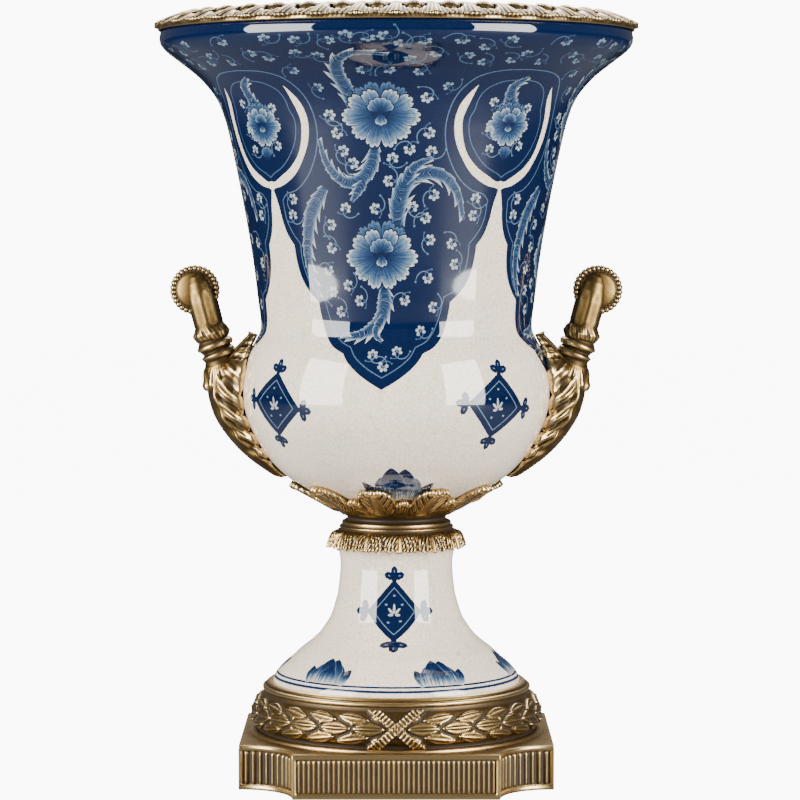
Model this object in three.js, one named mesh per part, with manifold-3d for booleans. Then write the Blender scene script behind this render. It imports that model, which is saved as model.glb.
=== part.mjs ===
// Table vase: a campana bowl and a trumpet foot of crackle-glazed porcelain, held together and
// framed by cast bronze mounts. Units are millimetres, +Z is up, and the vase stands on Z = 0.

import * as THREE from "three";
import { mergeVertices } from "three/addons/utils/BufferGeometryUtils.js";
import Module from "manifold-3d";

const wasm = await Module();
wasm.setup();

// Driving dimensions
const GAP = 0.3;                // clearance between two touching pieces
const HEIGHT = 463;             // top of the rim mount
const BOWL_TURNS = 28;          // segments around the bowl, and around what is cut to fit it
const FOOT_TURNS = 24;
const HANDLE_SIDES = 8;

const PLINTH_HALF = 94;         // half the width of the square plinth
const PLINTH_HEIGHT = 26.6;
const CORNER = 33;              // radius of the plinth's hollow corners
const FLUTE_BOTTOM = 3.4;
const FLUTE_TOP = 23.2;
const FLUTES_FLAT = 40;         // on each straight side
const FLUTES_CORNER = 11;       // in each hollow corner
const FLUTE_BORDER = 2.4;
const BASE_WALL = 4.5;

const WREATH_GROUPS = 26;       // groups of three laurel leaves around the base
const WREATH_BOTTOM = 27.8;
const WREATH_TOP = 51.6;
const WREATH_RADIUS = 89.4;
const WREATH_INNER = 82.4;

const RIM_GROUPS = 40;          // leaves around the rim mount
const COLLAR_LEAVES = 10;       // large leaves of the collar's cup
const COLLAR_TURN = 13;         // degrees from the front to the middle of the nearest large leaf
const SKIRT_LEAVES = 12;

const ROUNDEL = new THREE.Vector3(122.6, 0, 296);
const ROUNDEL_RADIUS = 15.1;
const ROUNDEL_BEADS = 30;

// Outlines, as [radius, height] pairs from the foot upwards
const BOWL_OUTSIDE = [
  [0, 159.4], [29.2, 162.6], [45, 169.7], [62.8, 179.7], [76.5, 191.9], [88.2, 210.2],
  [93.6, 228], [93.4, 241.4], [88.8, 259], [83.3, 269.5], [82.9, 279], [89.3, 325.9],
  [98.1, 374.7], [103.9, 399], [109.4, 412], [121.6, 426.4], [136.8, 438], [143.2, 445.4],
  [141.8, 452.6],
];
const BOWL_INSIDE = [
  [122, 453], [120.4, 447], [112, 429], [98.2, 406], [82.6, 327], [76.5, 280],
  [77.6, 267.6], [87.4, 242], [86.6, 228], [71, 197], [42, 175.6], [0, 166],
];
const FOOT_OUTSIDE = [
  [75.2, 54.6], [75.4, 58], [73.8, 62.4], [64, 71.4], [52.4, 81.3], [43.6, 91.2],
  [37.6, 104.6], [34.3, 126], [36.1, 140.4], [34.8, 146.2], [32, 148],
];
const FOOT_INSIDE = [[28, 148], [29, 125], [32.4, 102], [48, 77.6], [69, 58.8], [69.4, 54.6]];

// Spine of a handle's leaf as [height, distance from the axis, half-width], from the tip upwards
const LEAF_SPINE = [
  [182.2, 74.4, 3], [187.4, 81.8, 6.4], [194.6, 91, 10.8], [199.4, 96.2, 9.6], [206, 102, 13.8],
  [211.4, 106, 12.4], [218.4, 110.2, 16.2], [224, 112.4, 14.6], [232, 114.4, 17.8],
  [239, 114.8, 15.8], [247.4, 111.2, 17.4], [255.6, 102.6, 12], [268.7, 90.6, 3.2],
];
// Stem of a handle as [distance from the axis, height, radius], from the leaf upwards
const STEM = [
  [104.6, 235, 9.6], [105.6, 243, 11.8], [106.6, 250.6, 11.2], [107.6, 254, 9.2],
  [108.4, 257, 10.8], [109.4, 259.6, 8.8], [110.6, 262.6, 11.4], [111.6, 265.4, 9.2],
  [112.8, 269.4, 10.3], [114, 273.6, 8.8], [118, 289, 8], [120.4, 294, 6],
];

// Shared ways of making a closed solid

/** Turns a closed outline, or one that starts and ends on the axis, around +Z. */
function turned(pairs, segments) {
  const points = pairs.map(([r, z]) => new THREE.Vector2(r, z));
  return new THREE.LatheGeometry(points, segments).rotateX(Math.PI / 2);
}

/** Closes an outline by adding its first pair again. */
function closed(pairs) {
  return [...pairs, pairs[0]];
}

/** The places of a number of equal steps around a turn, each from 0 to 1. */
function evenly(count) {
  return Array.from({ length: count }, (_, i) => i / count);
}

/** Builds a ring from a grid that closes in both directions: place(turn, row) gives [r, z]. */
function carvedRing(turns, rows, place) {
  const positions = [];
  const index = [];
  const columns = turns.length;
  for (let i = 0; i < columns; i++) {
    const angle = 2 * Math.PI * turns[i];
    for (let j = 0; j < rows; j++) {
      const [r, z] = place(turns[i], j);
      positions.push(r * Math.cos(angle), r * Math.sin(angle), z);
      const a = i * rows + j;
      const b = ((i + 1) % columns) * rows + j;
      const c = ((i + 1) % columns) * rows + ((j + 1) % rows);
      const d = i * rows + ((j + 1) % rows);
      index.push(a, b, c, a, c, d);
    }
  }
  const geometry = new THREE.BufferGeometry();
  geometry.setAttribute("position", new THREE.Float32BufferAttribute(positions, 3));
  geometry.setIndex(index);
  return geometry;
}

/** Joins equal rings of points into a tube and closes both ends with a fan, domed by bulge. */
function loft(rings, bulge = 0) {
  const sides = rings[0].length;
  const positions = [];
  const index = [];
  const [start, second, last, end] = [0, 1, rings.length - 2, rings.length - 1].map((j) => {
    const middle = new THREE.Vector3();
    rings[j].forEach((point) => middle.add(point));
    return middle.divideScalar(sides);
  });
  const middles = [start.clone().lerp(second, -bulge), end.clone().lerp(last, -bulge)];
  rings.forEach((ring) => ring.forEach((point) => positions.push(...point.toArray())));
  middles.forEach((point) => positions.push(...point.toArray()));
  const first = rings.length * sides;
  for (let k = 0; k < sides; k++) {
    const next = (k + 1) % sides;
    for (let j = 0; j < rings.length - 1; j++) {
      const low = j * sides;
      index.push(low + k, low + next, low + sides + next);
      index.push(low + k, low + sides + next, low + sides + k);
    }
    index.push(first, next, k);
    index.push(first + 1, first - sides + k, first - sides + next);
  }
  const geometry = new THREE.BufferGeometry();
  geometry.setAttribute("position", new THREE.Float32BufferAttribute(positions, 3));
  geometry.setIndex(index);
  return geometry;
}

/** Turns a closed geometry into a solid that can be added and subtracted. */
function solid(geometry) {
  const bare = geometry.clone();
  bare.deleteAttribute("normal");
  bare.deleteAttribute("uv");
  const merged = mergeVertices(bare, 1e-4);
  return new wasm.Manifold(new wasm.Mesh({
    numProp: 3,
    vertProperties: new Float32Array(merged.attributes.position.array),
    triVerts: new Uint32Array(merged.index.array),
  }));
}

/** Turns a solid back into a geometry for a mesh. */
function geometryOf(body) {
  const mesh = body.getMesh();
  const geometry = new THREE.BufferGeometry();
  geometry.setAttribute("position", new THREE.Float32BufferAttribute(mesh.vertProperties, 3));
  geometry.setIndex(Array.from(mesh.triVerts));
  geometry.computeVertexNormals();
  return geometry;
}

/** A wave that is 1 in the middle of each of count equal parts of a turn and 0 between them. */
function lobe(turn, count) {
  return 0.5 - 0.5 * Math.cos(2 * Math.PI * turn * count);
}

// Porcelain: the bowl and the foot

const bowlGeometry = turned([...BOWL_OUTSIDE, ...BOWL_INSIDE], BOWL_TURNS);
const footGeometry = turned(closed([...FOOT_OUTSIDE, ...FOOT_INSIDE]), FOOT_TURNS);

/** The bowl's outside as a full body, grown by a clearance, for cutting what lies against it. */
function grownBowl(clearance) {
  const grown = BOWL_OUTSIDE.map(([r, z], k) => {
    const [r0, z0] = BOWL_OUTSIDE[Math.max(k - 1, 0)];
    const [r1, z1] = BOWL_OUTSIDE[Math.min(k + 1, BOWL_OUTSIDE.length - 1)];
    const length = Math.hypot(r1 - r0, z1 - z0);
    const out = k === 0 ? 0 : (clearance * (z1 - z0)) / length;
    const down = k === 0 ? clearance : (clearance * (r1 - r0)) / length;
    return [r + out, z - down];
  });
  return solid(turned([...grown, [0, 452.2]], BOWL_TURNS));
}

/** Height of the bowl's underside at a distance from the axis. */
function bowlHeight(radius) {
  const k = BOWL_OUTSIDE.findIndex(([r]) => r > radius);
  const [r0, z0] = BOWL_OUTSIDE[k - 1];
  const [r1, z1] = BOWL_OUTSIDE[k];
  return z0 + ((z1 - z0) * (radius - r0)) / (r1 - r0);
}

/** Radius of the bowl's outside at a height. */
function bowlRadius(height) {
  const k = Math.max(1, BOWL_OUTSIDE.findIndex(([, z]) => z > height));
  const [r0, z0] = BOWL_OUTSIDE[k - 1];
  const [r1, z1] = BOWL_OUTSIDE[k];
  return r0 + ((r1 - r0) * (height - z0)) / (z1 - z0);
}

// Rim mount: a ring over the lip, with a sloping band of overlapping leaves

const rimRows = [
  [141.8, 453 + GAP], [146.4, 453.8], [146.8, 455.2], [134, 460.4], [119.4, HEIGHT],
  [116.2, 461], [116.2, 450], [119.6, 453 + GAP],
];

/** Carves the rim's outer edge and slope: a tip and a raised back for each leaf. */
function rimPlace(turn, row) {
  const [r, z] = rimRows[row];
  const leaf = 1 - lobe(turn, RIM_GROUPS);
  const reach = row === 1 || row === 2 ? 1.6 * (leaf - 1) : 0;
  return [r + reach, row === 3 ? z + 1.2 * (leaf - 0.5) : z];
}
const rimGeometry = carvedRing(evenly(RIM_GROUPS * 2), rimRows.length, rimPlace);

// Neck collar: a cup of leaves under the bowl, a ringed waist, and a leaf skirt over the foot

const CUP_TIP = [64.4, 177.2];
const CUP_ROOT = [35.6, 160.6];
// Cup rows: shares of the reach along the underside, then radii along the bowl on the way back
const CUP_OUT = [0.05, 0.5, 1];
const CUP_BACK = [64, 45, 29.2];
const collarRows = [
  [22, 148 + GAP], [32.3, 148 + GAP], [35.1, 146.8], [36.8, 139.8], [40.8, 139.6],
  [39.2, 146], [34.6, 151.2], [32.6, 154.2], [29.8, 156.6], [33.4, 159.2],
];

/** How far the cup's edge reaches at a place around it: 1 at a large leaf's tip. */
function cupReach(turn) {
  const fromLeaf = (turn + COLLAR_TURN / 360) * COLLAR_LEAVES;
  const across = Math.abs((fromLeaf % 1) - 0.5) * 2;
  const large = Math.sqrt(Math.max(0, 1 - Math.pow(across / 0.66, 3)));
  const small = 0.56 - 0.3 * Math.abs(across - 0.86);
  return Math.max(0.4 + 0.6 * large, small);
}

/** Gives the collar's grid: the waist and skirt by table, the cup by how far its leaves reach. */
function collarPlace(turn, row) {
  const cupRow = row - collarRows.length;
  if (cupRow < 0) {
    const [r, z] = collarRows[row];
    const frill = lobe(turn, SKIRT_LEAVES) - 0.5;
    return row === 4 || row === 5 ? [r + 1.1 * frill, z + 0.7 * frill] : [r, z];
  }
  const reach = cupReach(turn);
  const along = cupRow < CUP_OUT.length ? CUP_OUT[cupRow] * reach : reach;
  const r = CUP_ROOT[0] + (CUP_TIP[0] - CUP_ROOT[0]) * along;
  if (cupRow < CUP_OUT.length) {
    return [r, CUP_ROOT[1] + (CUP_TIP[1] - CUP_ROOT[1]) * along];
  }
  const near = Math.min(r - 0.6, CUP_BACK[cupRow - CUP_OUT.length]);
  return [near, bowlHeight(near) - 2 * GAP];
}
const collarGeometry = carvedRing(
  evenly(COLLAR_LEAVES * 4), collarRows.length + CUP_OUT.length + CUP_BACK.length, collarPlace);

// Base: a fluted square plinth with hollow corners, open beneath, and a laurel ring above it

/** Closed plan of the plinth, moved inwards; the fluted plan also has its grooves. */
function plinthPlan(inset, fluted) {
  const points = [];
  const radius = CORNER + inset;
  const reach = PLINTH_HALF - Math.sqrt(radius * radius - inset * inset);
  const field = PLINTH_HALF - CORNER - FLUTE_BORDER;
  for (let side = 0; side < 4; side++) {
    const local = [[-reach, inset - PLINTH_HALF]];
    if (fluted) {
      local.push([-field, inset - PLINTH_HALF]);
      for (let k = 0; k <= FLUTES_FLAT * 2; k++) {
        const depth = k % 2 === 0 ? 0.5 : 1.6;
        local.push([-field + (k * field) / FLUTES_FLAT, depth - PLINTH_HALF]);
      }
      local.push([field, inset - PLINTH_HALF]);
    }
    local.push([reach, inset - PLINTH_HALF]);
    const steps = fluted ? FLUTES_CORNER * 2 : 6;
    const bend = Math.asin(inset / radius);
    for (let k = 1; k < steps; k++) {
      const angle = Math.PI - bend - ((Math.PI / 2 - 2 * bend) * k) / steps;
      const deep = fluted && k % 2 === 1 ? radius + 1.7 : radius + (fluted ? 0.3 : 0);
      local.push([PLINTH_HALF + deep * Math.cos(angle), deep * Math.sin(angle) - PLINTH_HALF]);
    }
    const turn = (side * Math.PI) / 2;
    local.forEach(([x, y]) => points.push(new THREE.Vector2(x, y).rotateAround(
      new THREE.Vector2(0, 0), turn)));
  }
  return new THREE.Shape(points);
}

/** Raises a plan between two heights. */
function raised(plan, bottom, top) {
  const geometry = new THREE.ExtrudeGeometry(plan, { depth: top - bottom, bevelEnabled: false });
  return solid(geometry.translate(0, 0, bottom));
}

const WREATH_STEPS = [-1, -0.5, 0, 0.5, 1];
const baseRows = [
  [81.8, 52.6], [78.9, 57.4], [75.7, 57.2], [75.5, 54.6 - GAP], [66, 54.6 - GAP],
  [66, 49.6], [78, 41], [79, 21], [88, 25.8], [83.4, 27.4],
];
const RIBBON_SPREAD = 0.02;     // how far the crossed ribbons reach to a side, in turns

/** Places around the ring: two for each group of leaves, and closer ones under the ribbons. */
function baseTurns() {
  const turns = evenly(WREATH_GROUPS * 2).filter((turn) => ribbonOffset(turn) > 1.2);
  for (const heading of [0.25, 0.75]) {
    WREATH_STEPS.forEach((step) => turns.push(heading + step * RIBBON_SPREAD));
  }
  return turns.sort((a, b) => a - b);
}

/** Distance from the nearer crossing of the ribbons, 1 where the ribbons end. */
function ribbonOffset(turn) {
  return Math.min(Math.abs(turn - 0.25), Math.abs(turn - 0.75)) / RIBBON_SPREAD;
}

/** Round part of the base: mouldings by table, and between them the laurel ring. */
function basePlace(turn, row) {
  if (row >= WREATH_STEPS.length) {
    return baseRows[row - WREATH_STEPS.length];
  }
  const step = WREATH_STEPS[row];
  const across = ribbonOffset(turn);
  if (across < 1.01) {
    const covered = Math.abs(across - Math.abs(step)) < 0.01;
    return wreathPoint(step, covered && Math.abs(step) < 1 ? 1.8 : 0);
  }
  const leaf = lobe(turn, WREATH_GROUPS);
  const crest = row % 2 === 1 ? 1.1 * leaf + 0.2 : 0.7 * (1 - leaf);
  return wreathPoint(step, Math.abs(step) === 1 ? 0 : crest);
}

/** Radius and height of the laurel ring's surface at a step across it, from -1 to 1. */
function wreathPoint(step, lift) {
  const swell = (WREATH_RADIUS - WREATH_INNER - 1) * Math.sqrt(1 - step * step);
  const z = (WREATH_TOP + WREATH_BOTTOM) / 2 + (step * (WREATH_TOP - WREATH_BOTTOM)) / 2;
  return [WREATH_INNER + swell + lift, z];
}
const baseRound = solid(
  carvedRing(baseTurns(), WREATH_STEPS.length + baseRows.length, basePlace));

const plinthBody = raised(plinthPlan(0, false), 0, FLUTE_BOTTOM)
  .add(raised(plinthPlan(0, true), FLUTE_BOTTOM - 1, FLUTE_TOP + 1))
  .add(raised(plinthPlan(0, false), FLUTE_TOP, PLINTH_HEIGHT));
const plinthHollow = raised(plinthPlan(BASE_WALL, false), -1, PLINTH_HEIGHT - BASE_WALL);
const well = solid(new THREE.CylinderGeometry(80, 80, 12, 26).rotateX(Math.PI / 2)
  .translate(0, 0, 25));

const baseBody = plinthBody.subtract(plinthHollow).subtract(well).add(baseRound);

// Handles: a leaf against the bowl, a ringed stem, and a beaded roundel

/** Ring of points across the leaf at one height: a domed front and a straight back. */
function leafRing(height, reach, half, shell) {
  const back = bowlRadius(height) - 6;
  const flank = Math.min(reach - 2, Math.sqrt(bowlRadius(height) ** 2 - half ** 2) + 1.2);
  const ring = [];
  for (let k = 0; k <= 6; k++) {
    const angle = (k / 6 - 0.5) * Math.PI;
    const side = (half - shell) * Math.sin(angle);
    const out = flank + (reach - shell - flank) * Math.pow(Math.cos(angle), 0.8);
    ring.push(new THREE.Vector3(out, side, height));
  }
  ring.push(new THREE.Vector3(back, half - shell, height));
  ring.push(new THREE.Vector3(back, shell - half, height));
  return ring;
}

/** Ring of points around the stem, square to its line in the XZ plane. */
function stemRing(k) {
  const [x, z, radius] = STEM[k];
  const [x0, z0] = STEM[Math.max(k - 1, 0)];
  const [x1, z1] = STEM[Math.min(k + 1, STEM.length - 1)];
  const along = new THREE.Vector3(x1 - x0, 0, z1 - z0).normalize();
  const across = new THREE.Vector3(0, 1, 0);
  const out = new THREE.Vector3().crossVectors(across, along);
  const ring = [];
  for (let i = 0; i < HANDLE_SIDES; i++) {
    const angle = (2 * Math.PI * i) / HANDLE_SIDES;
    const frill = k < 3 ? 1.1 * (i % 2) : 0;
    ring.push(new THREE.Vector3(x, 0, z)
      .addScaledVector(out, (radius - frill) * Math.cos(angle))
      .addScaledVector(across, (radius - frill) * Math.sin(angle)));
  }
  return ring;
}

/** Roundel: two low domes and an edge of beads, with its axis along Y. */
function roundelSolid() {
  const rows = [[10.8, 4.4], [ROUNDEL_RADIUS, 0], [10.8, -4.4]];
  const rings = rows.map(([radius, depth]) => {
    const ring = [];
    for (let i = 0; i < ROUNDEL_BEADS * 2; i++) {
      const angle = (Math.PI * i) / ROUNDEL_BEADS;
      const r = depth === 0 ? radius - 1.2 * (i % 2) : radius;
      ring.push(new THREE.Vector3(r * Math.cos(angle), depth, r * Math.sin(angle)));
    }
    return ring;
  });
  return solid(loft(rings, 0.5)).translate(ROUNDEL.toArray());
}

/** The right-hand handle, cut to the bowl's outside. */
function handleSolid() {
  const leaf = solid(loft(LEAF_SPINE.map(([z, r, w]) => leafRing(z, r, w, 0))));
  const inner = LEAF_SPINE.filter((row, k) => k > 1 && k % 2 === 1)
    .map(([z, r, w]) => leafRing(z, r, w, 3.2));
  const stem = solid(loft(STEM.map((row, k) => stemRing(k))));
  return leaf.subtract(solid(loft(inner))).add(stem).add(roundelSolid())
    .subtract(grownBowl(GAP));
}
const handleGeometry = geometryOf(handleSolid());

// Materials and the scene graph

const porcelain = { color: 0x223a6b, roughness: 0.12, metalness: 0 };
const paleGlaze = { color: 0xded6ca, roughness: 0.14, metalness: 0 };
const bronze = { color: 0xa98646, roughness: 0.36, metalness: 1 };

/** Makes a named mesh with its own material. */
function piece(name, geometry, look) {
  const mesh = new THREE.Mesh(geometry, new THREE.MeshStandardMaterial(look));
  mesh.name = name;
  return mesh;
}

const vase = new THREE.Group();
vase.add(piece("bowl", bowlGeometry, porcelain));
vase.add(piece("foot", footGeometry, paleGlaze));
vase.add(piece("rim_mount", rimGeometry, bronze));
vase.add(piece("neck_collar", collarGeometry, bronze));
vase.add(piece("base", geometryOf(baseBody), bronze));
vase.add(piece("handle_right", handleGeometry, bronze));

const leftHandle = piece("handle_left", handleGeometry.clone(), bronze);
leftHandle.rotation.z = Math.PI;
vase.add(leftHandle);

export default vase;
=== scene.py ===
# %% [markdown]
# # A painted porcelain vase in bronze mounts
# A campana bowl and a trumpet foot of crackle-glazed porcelain are held together by cast bronze:
# a leaf band on the lip, two handles, a collar of leaves and a square fluted base. The solids come
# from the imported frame. Here each one gets the surface that the eye meets: painting under a clear
# glaze on the porcelain, and chased relief with a worn gold patina on the bronze.

import math

import bmesh
import bpy
import numpy as np
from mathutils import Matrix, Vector
from mathutils.geometry import delaunay_2d_cdt


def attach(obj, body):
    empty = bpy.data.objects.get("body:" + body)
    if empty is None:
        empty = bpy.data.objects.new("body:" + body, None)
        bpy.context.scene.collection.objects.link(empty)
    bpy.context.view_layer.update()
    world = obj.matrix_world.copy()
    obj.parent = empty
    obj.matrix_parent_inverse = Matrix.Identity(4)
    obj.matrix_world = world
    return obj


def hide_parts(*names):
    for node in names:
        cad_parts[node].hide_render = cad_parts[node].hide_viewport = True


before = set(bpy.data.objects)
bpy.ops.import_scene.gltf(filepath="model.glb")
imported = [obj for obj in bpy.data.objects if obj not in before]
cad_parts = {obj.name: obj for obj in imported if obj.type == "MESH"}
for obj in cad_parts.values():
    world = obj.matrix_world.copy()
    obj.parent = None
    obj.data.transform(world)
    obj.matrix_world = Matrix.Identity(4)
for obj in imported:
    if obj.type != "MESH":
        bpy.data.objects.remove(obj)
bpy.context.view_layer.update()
print("the frame's nodes:", ", ".join(sorted(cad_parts)))

# %% [markdown]
# ## Working in millimetres
# Blender counts in metres, but a vase is drawn in millimetres, so every helper works in
# millimetres and only the last step scales down. A curve through a few chosen points could be a
# Bezier object; a cubic worked out with numpy gives plain arrays, which every later step can use.

# %% Curves
MM = 0.001


def smooth_line(points, step):
    """A cubic through the points, with each tangent along the line between the neighbours, sampled
    at equal steps of its own length. Returns an array of places."""
    points = np.asarray(points, float)
    gaps = np.linalg.norm(np.diff(points, axis=0), axis=1)
    at = np.concatenate([[0], np.cumsum(np.sqrt(gaps))])
    tangent = np.gradient(points, at, axis=0)
    dense = np.linspace(0, at[-1], 40 * len(points))
    k = np.clip(np.searchsorted(at, dense, side="right") - 1, 0, len(at) - 2)
    span = (at[k + 1] - at[k])[:, None]
    t = ((dense - at[k])[:, None]) / span
    line = ((2 * t**3 - 3 * t**2 + 1) * points[k] + (t**3 - 2 * t**2 + t) * span * tangent[k]
            + (3 * t**2 - 2 * t**3) * points[k + 1] + (t**3 - t**2) * span * tangent[k + 1])
    return even_steps(line, step)


def even_steps(line, step):
    """The same line with its points at equal steps of its length, ends kept."""
    run = np.concatenate([[0], np.cumsum(np.linalg.norm(np.diff(line, axis=0), axis=1))])
    count = max(2, int(round(run[-1] / step)) + 1)
    want = np.linspace(0, run[-1], count)
    return np.stack([np.interp(want, run, line[:, i]) for i in range(line.shape[1])], axis=1)


def run_along(line):
    """Distance from the start of a line to each of its points."""
    return np.concatenate([[0], np.cumsum(np.linalg.norm(np.diff(line, axis=0), axis=1))])


def outward(line):
    """Unit vectors square to a line, a quarter turn clockwise from its direction."""
    along = np.gradient(line, axis=0)
    along /= np.linalg.norm(along, axis=1, keepdims=True)
    return np.stack([along[:, 1], -along[:, 0]], axis=1)


test_line = smooth_line([(0, 0), (10, 0), (30, 0)], 1)
print(f"a line through 0, 10 and 30 mm measures {run_along(test_line)[-1]:.1f} mm")

# %% Meshes
def make_piece(name, points, faces, node, values=None, normals=None):
    """A mesh from arrays in millimetres, riding on the frame in place of a node. Values are named
    numbers for each corner of each face, or for each point, by their length."""
    mesh = bpy.data.meshes.new(name)
    mesh.from_pydata((np.asarray(points) * MM).tolist(), [], np.asarray(faces).tolist())
    for key, column in (values or {}).items():
        place = "POINT" if len(column) == len(points) else "CORNER"
        layer = mesh.attributes.new(key, "FLOAT", place)
        layer.data.foreach_set("value", column.astype(np.float32))
    mesh.shade_smooth()
    if normals is not None:
        mesh.normals_split_custom_set_from_vertices(normals.tolist())
    piece = bpy.data.objects.new(name, mesh)
    bpy.context.scene.collection.objects.link(piece)
    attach(piece, "root")
    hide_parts(node)
    print(f"{name}: {len(points)} points, {len(faces)} faces")
    return piece


def grid_faces(rows, columns, around=True, closed=False):
    """Four-sided faces between neighbours of a rows-by-columns grid, closed around a turn, and
    closed along a row as well where asked."""
    i = np.arange(rows if closed else rows - 1)[:, None]
    j = np.arange(columns if around else columns - 1)[None, :]
    below = (i + 1) % rows
    beside = (j + 1) % columns
    return np.stack(np.broadcast_arrays(
        i * columns + j, i * columns + beside, below * columns + beside, below * columns + j),
        axis=-1).reshape(-1, 4)


print("a grid of 3 rows and 4 columns, closed around, has", len(grid_faces(3, 4)), "faces")

# %% [markdown]
# ## The porcelain bowl's outline
# The bowl was thrown on a wheel, so its form is one line carried around the axis: a rounded
# belly, a narrow waist, a tall flaring wall and a thick rolled lip, then back down inside. A Screw
# modifier could turn such a line, but the painting has to be cut into the wall, so the line is kept
# as numbers. One smooth line for outside, lip and inside keeps reflections running without a break.

# %% Bowl outline
BOWL_OUTSIDE = [
    (0, 159.4), (29.2, 162.6), (40.2, 167.5), (52.4, 173.6), (62.8, 179.7), (70.7, 185.8),
    (76.5, 191.9), (81, 198), (88, 210.2), (92.6, 222.3), (94.1, 234.5), (92.6, 246.7),
    (89, 258.9), (85.9, 265), (82.9, 271.1), (82.6, 277.2), (84.1, 289.4), (87.1, 313.7),
    (91.1, 338.1), (95.7, 362.5), (100.8, 386.9), (103.9, 399), (108.8, 411.2), (118.5, 423.4),
    (133.7, 435.6), (139.8, 440.5), (142.6, 444.2), (143.3, 448), (142, 452.2), (139, 453),
]
BOWL_INSIDE = [
    (124, 453), (121.4, 451), (119.8, 446), (111.6, 429), (98.2, 406), (89.4, 368), (82.6, 327),
    (76.5, 281), (77.4, 268), (86.6, 242), (86.4, 228), (71, 197), (42, 175.6), (0, 166),
]
PAINT_START = 29.2               # radius under the bowl from which the sheet of painting covers it
PAINT_RADIUS = 95.0              # radius at which the drawing plane is as wide as the porcelain
PATTERN_CENTRE = -5.3            # degrees from the front to the middle of the front panel
CELL = 90.0                      # degrees after which the painting repeats

bowl_line = smooth_line(BOWL_OUTSIDE + BOWL_INSIDE, 0.5)
bowl_line[[0, -1], 0] = 0
bowl_run = run_along(bowl_line)
lip_row = int(np.argmax(bowl_line[:, 0]))


def run_at(height, line=bowl_line, last=lip_row):
    """Distance along the outside of an outline at a height."""
    return np.interp(height, line[:last, 1], run_along(line)[:last])


def to_plane(marks, line=bowl_line, last=lip_row):
    """Turns pairs of degrees around and height into the flat drawing plane, in millimetres."""
    marks = np.asarray(marks, float)
    across = np.radians(marks[:, 0]) * PAINT_RADIUS
    return np.stack([across, run_at(marks[:, 1], line, last)], axis=1)


print(f"outline {bowl_run[-1]:.0f} mm long, widest {bowl_line[:, 0].max():.1f} mm from the axis")

# %% [markdown]
# ## Drawing the painting
# The real painting is cobalt brushwork under the glaze: deep blue panels, with flowers, scrolling
# leaves and small sprigs left pale. An image texture isn't used here, and shader nodes can't
# draw a leaf, so each brush shape is an outline on the flattened wall of the bowl. The mesh is cut
# along these outlines, so that their edges stay sharp however close the camera comes, and each
# face keeps how much cobalt lies on it.

# %% Dabs and strokes
def flat(tone):
    """Shading of a shape with one strength of paint: 0 is full cobalt and 1 bare porcelain. The two
    other numbers are a place across its streaks and how strong they are."""
    return lambda p: np.stack([np.full(len(p), tone), np.zeros(len(p)), np.zeros(len(p))], axis=1)


def disc(centre, radius, tone, stretch=1.0, angle=0.0):
    """A round dab: a circle with a few corners, stretched along an angle."""
    t = np.linspace(0, 2 * np.pi, 5 if radius < 0.8 else 7, endpoint=False)
    along, across = radius * stretch * np.cos(t), radius * np.sin(t)
    x = centre[0] + along * np.cos(angle) - across * np.sin(angle)
    y = centre[1] + along * np.sin(angle) + across * np.cos(angle)
    return [(np.stack([x, y], axis=1), flat(tone))]


def stroke(points, width, tone, step=1.4, taper=True, smooth=True):
    """A brush line: the line's points moved half a width to each side, thinner towards its ends."""
    line = smooth_line(points, step) if smooth else np.asarray(points, float)
    t = np.linspace(0, 1, len(line))
    ends = np.minimum(1, 0.35 + 3.2 * np.minimum(t, 1 - t)) if taper else np.ones_like(t)
    side = outward(line) * (0.5 * width * ends)[:, None]
    return [(np.concatenate([line + side, (line - side)[::-1]]), flat(tone))]


dab_outline, dab_shade = disc((0, 0), 1.0, 0.5)[0]
print("a dab has", len(dab_outline), "corners and the tone", float(dab_shade(dab_outline)[0, 0]))

# %% Scalloped edge of a petal
SCALLOP = 0.09                   # depth of a petal's scallops, as a share of its length


def turn_of(vectors, heading):
    """Angle of each vector from a heading, between minus and plus half a turn."""
    return (np.arctan2(vectors[:, 1], vectors[:, 0]) - heading + np.pi) % (2 * np.pi) - np.pi


def reach_of(u, length, lobes):
    """Reach of a petal at u, -1 to 1 across it: its length, less at the sides, waved by its lobes."""
    phase = 0.5 * np.pi * lobes * u
    wave = np.abs(np.cos(phase)) if lobes % 2 else np.abs(np.sin(phase))
    return length * (1 - 0.22 * np.abs(u) ** 3) * (1 - SCALLOP + SCALLOP * np.sqrt(wave))


reaches = reach_of(np.linspace(-1, 1, 41), 20, 3)
print(f"a petal of 20 mm reaches from {reaches.min():.1f} to {reaches.max():.1f} mm")

# %% Petals
PETAL_STEPS = [0, 0.25, 0.6, 0.86, 1.0]           # shares of a petal's reach
PETAL_TONES = [0.0, 0.08, 0.32, 0.58, 0.86]       # paint left off at those shares
PARTING = 0.055                                   # width of the deep edge, as a share of the length


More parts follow.
